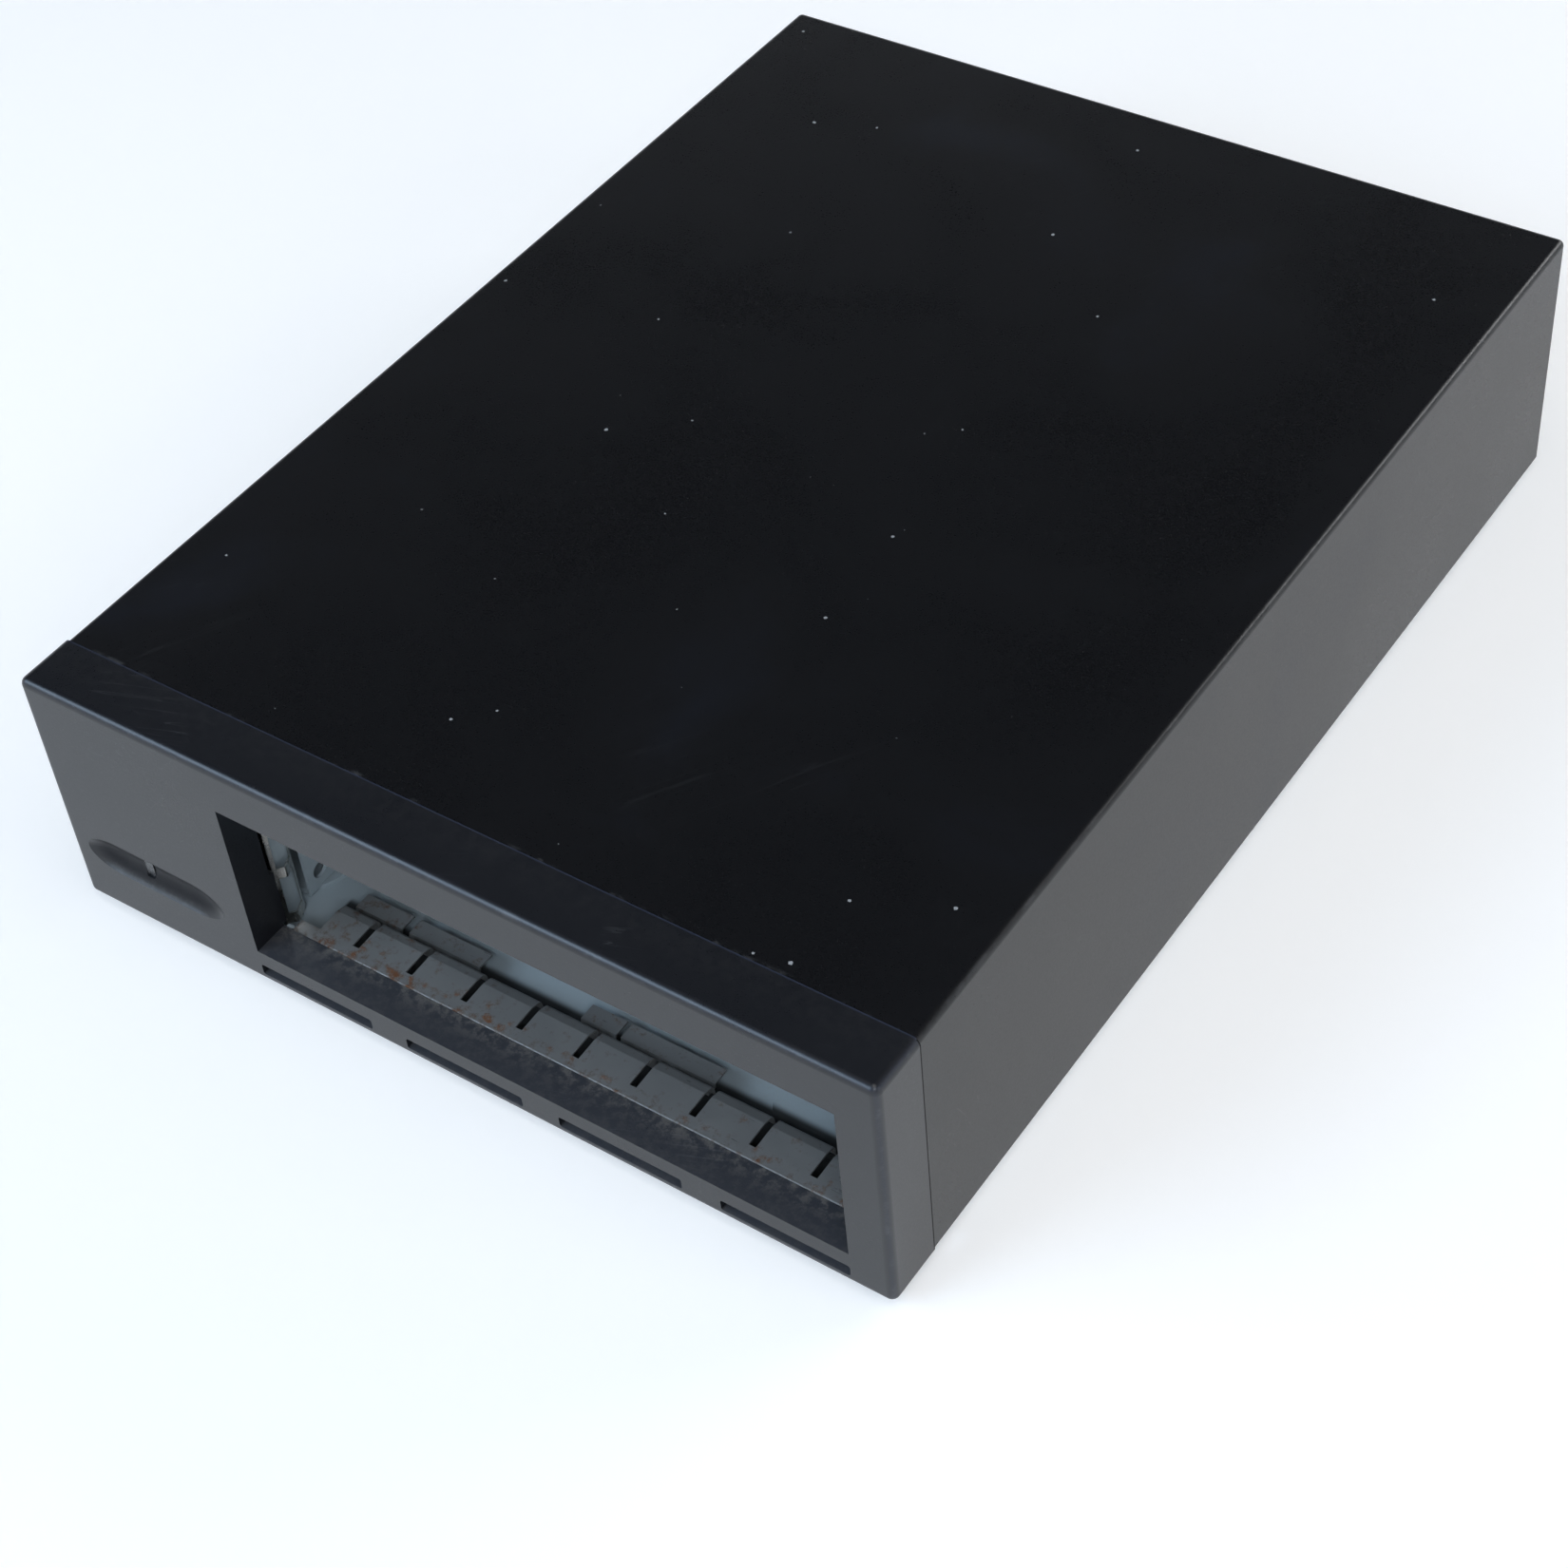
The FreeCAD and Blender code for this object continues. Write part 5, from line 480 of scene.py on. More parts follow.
def bezel_moulding(paint):
    """Satin black moulding, dusty on the ledges of the bay, rubbed along its front edges; with a painted
    blue highlight along its edges, painted light on faces that look up, and a painted highlight and painted
    shade at the joint with the cover.
    """
    painted_edge_highlight_blue, painted_light_grey = (0.016, 0.030, 0.075), (0.048, 0.051, 0.060)
    painted_seam_highlight_blue, painted_gap_shade_black = (0.040, 0.050, 0.085), (0.001, 0.001, 0.001)
    finish, tree, surface, place = new_finish("black bezel moulding", IOR=1.5)
    skin = coat_skin(tree, place, Grain=3000.0, Smudges=20.0, Roughness=0.31, Change=0.10, Grain_Change=0.16)
    low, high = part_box("front_bezel")
    seam_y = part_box("top_cover")[0].y
    worn = edge_wear(tree, place, Low=low, High=high, Width=1.4 * MM, Breaks=150.0)
    chips = sparse_chips(tree, place, Cells=120.0, Size=0.22 * MM, Share=0.16)
    scuffs = long_scuffs(tree, place, Turn=1.2, Fineness=420.0, Patches=40.0)
    x, y, z = parts_of(tree, place)
    ledge = times(tree, ramp(tree, z, 18 * MM, 30 * MM, 1.0, 0.03),
                  ramp(tree, y, low.y + 3 * MM, low.y + 11 * MM, 0.15, 1.0))
    dust = times(tree, settled_dust(tree, place, Patches=480.0, Amount=2.6)["Mask"], ledge)
    # painted light: a lighter blue-grey on faces that look up, full inside the vents, thinner up to the
    # ledge of the bay
    vents = calc(tree, "COMPARE", z, low.z + 3.5 * MM, 3 * MM)
    painted_light_on_tops = times(tree, ramp(tree, upward(tree), 0.6, 0.95), plus(
        tree, vents, ramp(tree, z, low.z + 13 * MM, low.z + 12.5 * MM, 0.0, 0.70), clamp=True))
    # the joint with the cover: a painted highlight along the top and painted shade in the gap down each side
    painted_seam_highlight = times(tree, ramp(tree, y, seam_y - 0.7 * MM, seam_y - 0.2 * MM),
                 ramp(tree, z, high.z - MM, high.z - 0.3 * MM))
    painted_gap_shade = times(tree, ramp(tree, y, seam_y - 0.6 * MM, seam_y - 0.45 * MM),
                ramp(tree, calc(tree, "ABSOLUTE", x), high.x - 0.9 * MM, high.x - 0.6 * MM))
    # inside the long groove at the left, which shines less
    across = times(tree, ramp(tree, x, low.x + 3 * MM, low.x + 4.5 * MM),
                   ramp(tree, x, low.x + 46 * MM, low.x + 45.5 * MM))
    deep = times(tree, ramp(tree, y, low.y + 0.2 * MM, low.y + 1.6 * MM),
                 ramp(tree, z, low.z + 26 * MM, low.z + 25.5 * MM))
    groove = times(tree, times(tree, across, deep), ramp(tree, z, low.z + 10 * MM, low.z + 10.5 * MM))
    tone = varied(tree, skin["Smudge"], paint.bezel, 0.85, 1.2)
    # painted highlight: a blue reflection laid along every edge of the bezel's box
    tone = over(tree, tone, painted_edge_highlight_blue, worn["Edge"], 0.3)
    tone = over(tree, tone, shade(paint.chip, 0.4), worn["Mask"], 0.30)
    # painted light on the faces that look up
    tone = over(tree, tone, painted_light_grey, painted_light_on_tops)
    tone = over(tree, tone, paint.haze, dust)
    tone = over(tree, tone, paint.dust, chips["Mask"], times(tree, ledge, 0.7))
    tone = over(tree, tone, paint.chip, scuffs["Mask"], 0.04)
    # painted highlight along the bezel's rear top edge at the joint
    tone = over(tree, tone, painted_seam_highlight_blue, painted_seam_highlight, 0.6)
    # painted shade in the gap between the bezel and the cover, down each side
    tone = over(tree, tone, painted_gap_shade_black, painted_gap_shade)
    wire(tree, surface, Base_Color=tone, Specular_IOR_Level=minus(tree, 0.5, times(tree, groove, 0.34)),
         Roughness=plus(tree, plus(tree, skin["Roughness"], painted_gap_shade), times(tree, dust, 0.4), clamp=True),
         Normal=bump(tree, skin["Height"], RELIEF, 0.3))
    return finish


def moulded(name, base, rough, peel):
    """Plain moulding with spark-eroded grain, uneven gloss and a little dust."""
    finish, tree, surface, place = new_finish(name, IOR=1.5)
    skin = coat_skin(tree, place, Grain=2600.0, Smudges=60.0, Roughness=rough, Change=0.12,
                     Grain_Change=0.12)
    dust = settled_dust(tree, place, Patches=90.0, Amount=0.12)
    tone = over(tree, varied(tree, skin["Smudge"], base, 0.8, 1.25), DUST, dust["Mask"])
    wire(tree, surface, Base_Color=tone, Roughness=skin["Roughness"],
         Normal=bump(tree, skin["Height"], RELIEF, peel))
    return finish


def bare_metal(name, base, rough, stretch, tarnish_share):
    """Bare or plated metal: drawn lines, cloudy gloss and a little tarnish."""
    tarnish = (0.1, 0.085, 0.07)
    finish, tree, surface, place = new_finish(name, Metallic=1.0)
    grain = metal_grain(tree, place, Stretch=stretch, Fineness=900.0, Clouds=150.0, Roughness=rough)
    cloud = noise(tree, mapped(tree, place, place=(0.1, 0.3, 0.2)), 210.0, detail=6.0, rough=0.7)
    dull = ramp(tree, cloud, 0.54, 0.76)
    tone = over(tree, varied(tree, grain["Cloud"], base, 0.82, 1.08), tarnish, dull, tarnish_share)
    wire(tree, surface, Base_Color=tone, Normal=bump(tree, grain["Height"], FINE_RELIEF, 0.12),
         Roughness=plus(tree, grain["Roughness"], times(tree, dull, 0.15), clamp=True))
    return finish


def rusty_spring(paint):
    """Plain spring steel of the finger strip: dull grey, scratched bright, with rust spots and stains."""
    dull_steel, bright_steel, stain_brown = (0.27, 0.272, 0.270), (0.34, 0.338, 0.330), (0.150, 0.092, 0.058)
    finish, tree, surface, place = new_finish("rusty spring steel")
    low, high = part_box("emi_strip_bottom")
    x, y = parts_of(tree, place)[:2]
    grain = metal_grain(tree, place, Stretch=(0.1, 1.0, 1.0), Fineness=1100.0, Clouds=120.0, Roughness=0.34)
    left = ramp(tree, x, low.x, low.x + 0.7 * (high.x - low.x), 0.03, -0.035)
    front = ramp(tree, y, low.y + 0.5 * MM, low.y + 6 * MM, 0.075, -0.02)
    rust = rust_bloom(tree, place, Blotches=330.0, Spread=plus(tree, left, front),
                      Dark=shade(paint.rust, 0.45), Bright=shade(paint.rust, 1.1))
    lines = bump(tree, grain["Height"], FINE_RELIEF, 0.25)
    steel = mix_colour(tree, grain["Cloud"], dull_steel, bright_steel)
    steel = over(tree, steel, stain_brown, rust["Stain"], 0.6)
    wire(tree, surface, Base_Color=over(tree, steel, rust["Colour"], rust["Crust"]),
         Metallic=minus(tree, 0.55, times(tree, rust["Crust"], 0.5), clamp=True),
         Roughness=plus(tree, grain["Roughness"], times(tree, rust["Stain"], 0.25), clamp=True),
         Normal=bump(tree, rust["Height"], 0.1 * MM, 0.6, under=lines))
    return finish


def banded(name, bands, axis, base, rough):
    """A part in plain bands along one axis; each band is (from, to, colour, metal share)."""
    finish, tree, surface, place = new_finish(name, IOR=1.5)
    along = parts_of(tree, place)[axis]
    skin = coat_skin(tree, place, Grain=1500.0, Smudges=90.0, Roughness=rough, Change=0.14, Grain_Change=0.1)
    tone = varied(tree, skin["Smudge"], base, 0.8, 1.2)
    metal_share = 0.0
    for start, end, band_colour, band_metal in bands:
        inside = times(tree, calc(tree, "GREATER_THAN", along, start), calc(tree, "LESS_THAN", along, end))
        tone = over(tree, tone, varied(tree, skin["Smudge"], band_colour, 0.85, 1.15), inside)
        metal_share = plus(tree, metal_share, times(tree, inside, band_metal), clamp=True)
    wire(tree, surface, Base_Color=tone, Metallic=metal_share, Roughness=skin["Roughness"],
         Normal=bump(tree, skin["Height"], RELIEF, 0.3))
    return finish


def laminate_board():
    """Brown paper laminate with a faint weave, darker tracks and a scatter of solder specks."""
    dark_brown, light_brown, thread = (0.20, 0.115, 0.035), (0.34, 0.20, 0.07), (0.42, 0.28, 0.12)
    track, solder_grey = (0.10, 0.055, 0.02), (0.5, 0.5, 0.49)
    finish, tree, surface, place = new_finish("brown board laminate", IOR=1.52)
    skin = coat_skin(tree, place, Grain=1600.0, Smudges=40.0, Roughness=0.36, Change=0.15, Grain_Change=0.1)
    weave = put(tree, "ShaderNodeTexWave", {"wave_type": "BANDS", "bands_direction": "X"}, Vector=place,
                Scale=420.0, Distortion=1.0).outputs["Fac"]
    turned = mapped(tree, place, turn=(0, 0, math.radians(90)))
    tracks = put(tree, "ShaderNodeTexBrick", Vector=turned, Scale=60.0, Mortar_Size=0.012).outputs["Fac"]
    solder = sparse_chips(tree, place, Cells=150.0, Size=0.7 * MM, Share=0.35)["Mask"]
    tone = mix_colour(tree, skin["Smudge"], dark_brown, light_brown)
    tone = over(tree, tone, thread, weave, 0.12)
    tone = over(tree, tone, track, tracks, 0.35)
    tone = over(tree, tone, solder_grey, solder)
    wire(tree, surface, Base_Color=tone, Metallic=solder, Roughness=skin["Roughness"],
         Normal=bump(tree, skin["Height"], 0.03 * MM, 0.3))
    return finish


def wound_wire(name, centre, turns, base, dark, upright=True):
    """Turns of enamelled wire round a ring or poles: lines that run out from its middle, with painted shade
    in the grooves between them.
    """
    finish, tree, surface, place = new_finish(name, IOR=1.55, Coat_Roughness=0.15)
    turn = (0, 0, 0) if upright else (math.radians(90), 0, 0)
    centred = mapped(tree, mapped(tree, place, place=-centre), turn=turn)
    around = put(tree, "ShaderNodeTexGradient", {"gradient_type": "RADIAL"}, Vector=centred).outputs["Fac"]
    raised = ramp(tree, calc(tree, "SINE", times(tree, around, turns * 2 * math.pi)), -1.0, 0.6)
    skin = coat_skin(tree, place, Grain=900.0, Smudges=120.0, Roughness=0.30, Change=0.15, Grain_Change=0.06)
    # painted shade: the grooves between the raised turns take the dark colour
    tone = mix_colour(tree, raised, dark, varied(tree, skin["Smudge"], base, 0.8, 1.2))
    wire(tree, surface, Base_Color=tone, Roughness=skin["Roughness"], Coat_Weight=times(tree, raised, 0.6),
         Normal=bump(tree, raised, 0.3 * MM, 0.6))
    return finish


def clear_moulding(name, base, rough, share):
    """Clear or tinted moulding with slight haze and fine scratches."""
    finish, tree, surface, place = new_finish(name, IOR=1.49, Transmission_Weight=share)
    skin = coat_skin(tree, place, Grain=1200.0, Smudges=160.0, Roughness=rough, Change=0.12,
                     Grain_Change=0.04)
    wire(tree, surface, Base_Color=over(tree, base, shade(base, 0.6), skin["Smudge"], 0.3),
         Roughness=skin["Roughness"], Normal=bump(tree, skin["Height"], FINE_RELIEF, 0.2))
    return finish


def ink_finish(name, base):
    """Pad-printed ink: nearly flat, a little worn through and uneven."""
    finish, tree, surface, place = new_finish(name, IOR=1.45)
    worn = noise(tree, place, 2600.0, detail=5.0, rough=0.7)
    tone = over(tree, base, shade(base, 0.35), ramp(tree, worn, 0.56, 0.74, 0.0, 0.5))
    wire(tree, surface, Base_Color=tone, Roughness=ramp(tree, worn, 0.3, 0.7, 0.45, 0.62),
         Normal=bump(tree, worn, FINE_RELIEF, 0.3))
    return finish


def label_paper(base):
    """Plain white label: faint fibre and a little grime in patches."""
    soil_grey = (0.38, 0.36, 0.32)
    finish, tree, surface, place = new_finish("bare label paper", IOR=1.45)
    fibre = noise(tree, mapped(tree, place, scale=(1.0, 1.0, 0.35)), 2200.0, detail=4.0, rough=0.6)
    soil = ramp(tree, noise(tree, place, 130.0, detail=5.0, rough=0.65), 0.52, 0.8)
    wire(tree, surface, Base_Color=over(tree, varied(tree, fibre, base, 0.93, 1.05), soil_grey, soil, 0.22),
         Roughness=ramp(tree, fibre, 0.3, 0.7, 0.40, 0.55), Normal=bump(tree, fibre, RELIEF, 0.35))
    return finish


def hub_paper(label):
    """Fan label in two halves, green and white, with scuffed print and no words."""
    lean, scuff_grey = math.radians(-30), (0.2, 0.2, 0.2)
    finish, tree, surface, place = new_finish("two-tone hub label", IOR=1.5)
    hub = middle("fan_shaft")
    centred = mapped(tree, place, place=(-hub.x, 0, -hub.z))
    leaned = put(tree, "ShaderNodeVectorRotate", {"rotation_type": "Y_AXIS"}, Vector=centred,
                 Angle=lean).outputs[0]
    green_side = ramp(tree, parts_of(tree, leaned)[0], -1.9 * MM, -1.5 * MM, smooth=False)
    scuff = noise(tree, place, 900.0, detail=5.0, rough=0.7)
    tone = mix_colour(tree, green_side, label.paper, label.hub_colour)
    wire(tree, surface, Base_Color=over(tree, tone, scuff_grey, ramp(tree, scuff, 0.52, 0.8, 0.0, 0.3)),
         Roughness=ramp(tree, scuff, 0.3, 0.7, 0.28, 0.45), Normal=bump(tree, scuff, FINE_RELIEF, 0.2))
    return finish


# ---- mesh helpers ----
def mesh_piece(name, bm, finish, body, replaces=()):
    """Closes a mesh into a piece at the origin, with its finish, its slot and the body it rides on."""
    bmesh.ops.recalc_face_normals(bm, faces=bm.faces)
    mesh = bpy.data.meshes.new(name)
    bm.to_mesh(mesh)
    bm.free()
    return add_piece(name, mesh, finish, body, replaces)


def add_piece(name, mesh, finish, body, replaces=()):
    """Makes a mesh a piece of the visual model."""
    mesh.name = name
    piece = bpy.data.objects.new(name, mesh)
    bpy.context.scene.collection.objects.link(piece)
    mesh.materials.clear()
    mesh.materials.append(finish)
    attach(piece, body)
    if replaces:
        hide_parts(*replaces)
    return piece


def prism(bm, corners, place, thickness):
    """A flat plate from a ring of corners (across, up); place turns them and the height into a point."""
    back = [bm.verts.new(place(u, v, 0.0)) for u, v in corners]
    face = [bm.verts.new(place(u, v, thickness)) for u, v in corners]
    bm.faces.new(back)
    bm.faces.new(reversed(face))
    count = len(corners)
    for i in range(count):
        bm.faces.new((back[i], face[i], face[(i + 1) % count], back[(i + 1) % count]))


def rounded_corners(width, height, radius, steps=8):
    """Corners of a rounded rectangle about (0, 0)."""
    ring = []
    for cx, cy, start in ((1, 1, 0), (-1, 1, 90), (-1, -1, 180), (1, -1, 270)):
        for i in range(steps + 1):
            angle = math.radians(start + 90 * i / steps)
            ring.append((cx * (width / 2 - radius) + radius * math.cos(angle),
                         cy * (height / 2 - radius) + radius * math.sin(angle)))
    return ring


def circle(radius, steps):
    """Corners of a circle about (0, 0)."""
    return [(radius * math.cos(2 * math.pi * i / steps), radius * math.sin(2 * math.pi * i / steps))
            for i in range(steps)]


def ring_band(bm, outer, inner, place, thickness, steps=48):
    """A flat ring, closed on all sides."""
    loops = [[bm.verts.new(place(u, v, height)) for u, v in circle(radius, steps)]
             for radius, height in ((inner, 0.0), (outer, 0.0), (outer, thickness), (inner, thickness))]
    for first, second in zip(loops, loops[1:] + loops[:1]):
        for i in range(steps):
            j = (i + 1) % steps
            bm.faces.new((first[i], first[j], second[j], second[i]))


LEFT, UP, BACK = Vector((-1, 0, 0)), Vector((0, 0, 1)), Vector((0, 1, 0))       # as seen from behind


def on_plane(origin, across=LEFT, up=UP, out=BACK):
    """Turns (across, up, height) into a point on a flat face; one that looks backwards, if not told."""
    return lambda u, v, h: origin + across * u + up * v + out * h


def joint_place(name):
    return next(Vector(j["pos_m"]) for j in frame["joints"] if j["name"] == name)


def plain_mesh(holder):
    """The evaluated mesh of an object that is then no longer needed."""
    depsgraph = bpy.context.evaluated_depsgraph_get()
    mesh = bpy.data.meshes.new_from_object(holder.evaluated_get(depsgraph), depsgraph=depsgraph)
    holder.modifiers.clear()
    bpy.data.objects.remove(holder)
    return mesh


# ---- the repeated screw heads ----
def screw_tree():
    """Geometry nodes: a pan-head screw with a cross recess, put at every seat point."""
    name = "cross-recess pan screws"
    if name in bpy.data.node_groups:
        return bpy.data.node_groups[name]
    tree = bpy.data.node_groups.new(name, "GeometryNodeTree")
    face = tree.interface
    face.new_socket(name="Geometry", in_out="INPUT", socket_type="NodeSocketGeometry")
    for label, kind, default in (
            ("Head Radius", FLOAT, 3.0 * MM), ("Head Height", FLOAT, 2.0 * MM), ("Crown", FLOAT, 0.6),
            ("Shank Radius", FLOAT, 1.5 * MM), ("Shank Length", FLOAT, 6.0 * MM),
            ("Recess Reach", FLOAT, 1.5 * MM), ("Blade Half", FLOAT, 0.4 * MM),
            ("Recess Depth", FLOAT, 1.2 * MM), ("Sides", "NodeSocketInt", 40), ("Facing", VECTOR, BACK)):
        face.new_socket(name=label, in_out="INPUT", socket_type=kind).default_value = default
    face.new_socket(name="Finish", in_out="INPUT", socket_type="NodeSocketMaterial")
    face.new_socket(name="Geometry", in_out="OUTPUT", socket_type="NodeSocketGeometry")
    entry = tree.nodes.new("NodeGroupInput").outputs
    leave = tree.nodes.new("NodeGroupOutput")

    ball = put(tree, "GeometryNodeMeshUVSphere", Segments=entry["Sides"], Rings=24, Radius=1.0)
    x, y, z = parts_of(tree, put(tree, "GeometryNodeInputPosition").outputs[0])
    lift = times(tree, calc(tree, "POWER", calc(tree, "MAXIMUM", z, 0.0), entry["Crown"]),
                entry["Head Height"])
    domed = vector_of(tree, X=times(tree, x, entry["Head Radius"]), Y=times(tree, y, entry["Head Radius"]),
                      Z=lift)
    head = put(tree, "GeometryNodeSetPosition", Geometry=ball.outputs["Mesh"], Position=domed)
    merged = put(tree, "GeometryNodeMergeByDistance", Geometry=head.outputs[0], Distance=0.001 * MM)

    # each arm of the recess is a four-sided taper, narrow below
    top_share, low_share = 1.9, 0.75
    reach_top = times(tree, entry["Recess Reach"], top_share)
    reach_low = times(tree, entry["Recess Reach"], low_share)
    taper = put(tree, "GeometryNodeMeshCone", Vertices=4, Radius_Top=reach_top, Radius_Bottom=reach_low,
                Depth=times(tree, entry["Recess Depth"], 2.0))
    thin = calc(tree, "DIVIDE", entry["Blade Half"], entry["Recess Reach"])
    floor_z = minus(tree, entry["Head Height"], entry["Recess Depth"])
    recess = merged.outputs[0]
    for quarter in (0, 1):
        squared = put(tree, "GeometryNodeTransform", Geometry=taper.outputs["Mesh"],
                      Rotation=(0.0, 0.0, math.radians(45)))
        narrowed = put(tree, "GeometryNodeTransform", Geometry=squared.outputs[0],
                       Scale=vector_of(tree, X=1.0, Y=thin, Z=1.0))
        set_in = put(tree, "GeometryNodeTransform", Geometry=narrowed.outputs[0],
                     Translation=vector_of(tree, Z=floor_z), Rotation=(0.0, 0.0, math.radians(90 * quarter)))
        cut = put(tree, "GeometryNodeMeshBoolean", {"operation": "DIFFERENCE", "solver": "EXACT"},
                  Mesh_1=recess, Mesh_2=set_in.outputs[0])
        recess = cut.outputs["Mesh"]
    just_in = 0.4999            # a hair under half its length, so that the shank reaches into the head
    shank = put(tree, "GeometryNodeMeshCylinder", Vertices=20, Radius=entry["Shank Radius"],
                Depth=entry["Shank Length"])
    below = put(tree, "GeometryNodeTransform", Geometry=shank.outputs["Mesh"],
                Translation=vector_of(tree, Z=times(tree, entry["Shank Length"], -just_in)))
    whole = put(tree, "GeometryNodeJoinGeometry")
    tree.links.new(recess, whole.inputs[0])
    tree.links.new(below.outputs[0], whole.inputs[0])

    facing = put(tree, "FunctionNodeAlignRotationToVector", {"axis": "Z"}, Vector=entry["Facing"])
    spread = put(tree, "GeometryNodeInstanceOnPoints", Points=entry["Geometry"], Instance=whole.outputs[0],
                 Rotation=facing.outputs[0])
    turn = put(tree, "GeometryNodeInputNamedAttribute", {"data_type": "FLOAT"}, Name="turn")
    twisted = put(tree, "GeometryNodeRotateInstances", Instances=spread.outputs[0],
                  Rotation=vector_of(tree, Z=turn.outputs["Attribute"]))
    real = put(tree, "GeometryNodeRealizeInstances", Geometry=twisted.outputs[0])
    done = put(tree, "GeometryNodeSetMaterial", Geometry=real.outputs[0], Material=entry["Finish"])
    tree.links.new(done.outputs[0], leave.inputs[0])
    return tree


def run_tree(points, turns, tree, values):
    """Runs a geometry nodes tree over seat points and gives back the plain mesh."""
    seats = bpy.data.meshes.new("seats")
    seats.from_pydata([tuple(p) for p in points], [], [])
    mark = seats.attributes.new("turn", "FLOAT", "POINT")
    for i, turn in enumerate(turns):
        mark.data[i].value = turn
    holder = bpy.data.objects.new("seats", seats)
    bpy.context.scene.collection.objects.link(holder)
    modifier = holder.modifiers.new("repeat", "NODES")
    modifier.node_group = tree
    for item in tree.interface.items_tree:
        if item.item_type == "SOCKET" and item.in_out == "INPUT" and item.name in values:
            modifier[item.identifier] = values[item.name]
    mesh = plain_mesh(holder)
    bpy.data.meshes.remove(seats)
    if not mesh.polygons:
        raise RuntimeError("the tree " + tree.name + " made no faces")
    return mesh


def screw_set(name, node, seats, head_radius, head_height, shank_radius, shank_length, settings, finish):
    """Cross-recess screws at their seats in the rear panel, in place of the plain ones."""
    first_turn, next_turn, crease = 0.35, 1.1, math.radians(32)
    turns = [first_turn + next_turn * i for i in range(len(seats))]
    mesh = run_tree(seats, turns, screw_tree(), {
        "Head Radius": head_radius, "Head Height": head_height, "Crown": settings.crown,
        "Shank Radius": shank_radius, "Shank Length": shank_length,
        "Recess Reach": head_radius * settings.recess_share,
        "Blade Half": head_radius * settings.blade_share,
        "Recess Depth": head_height * settings.depth_share, "Sides": settings.sides,
        "Facing": BACK, "Finish": finish})
    mesh.shade_smooth()
    mesh.set_sharp_from_angle(angle=crease)
    return add_piece(name, mesh, finish, "enclosure", (node,))


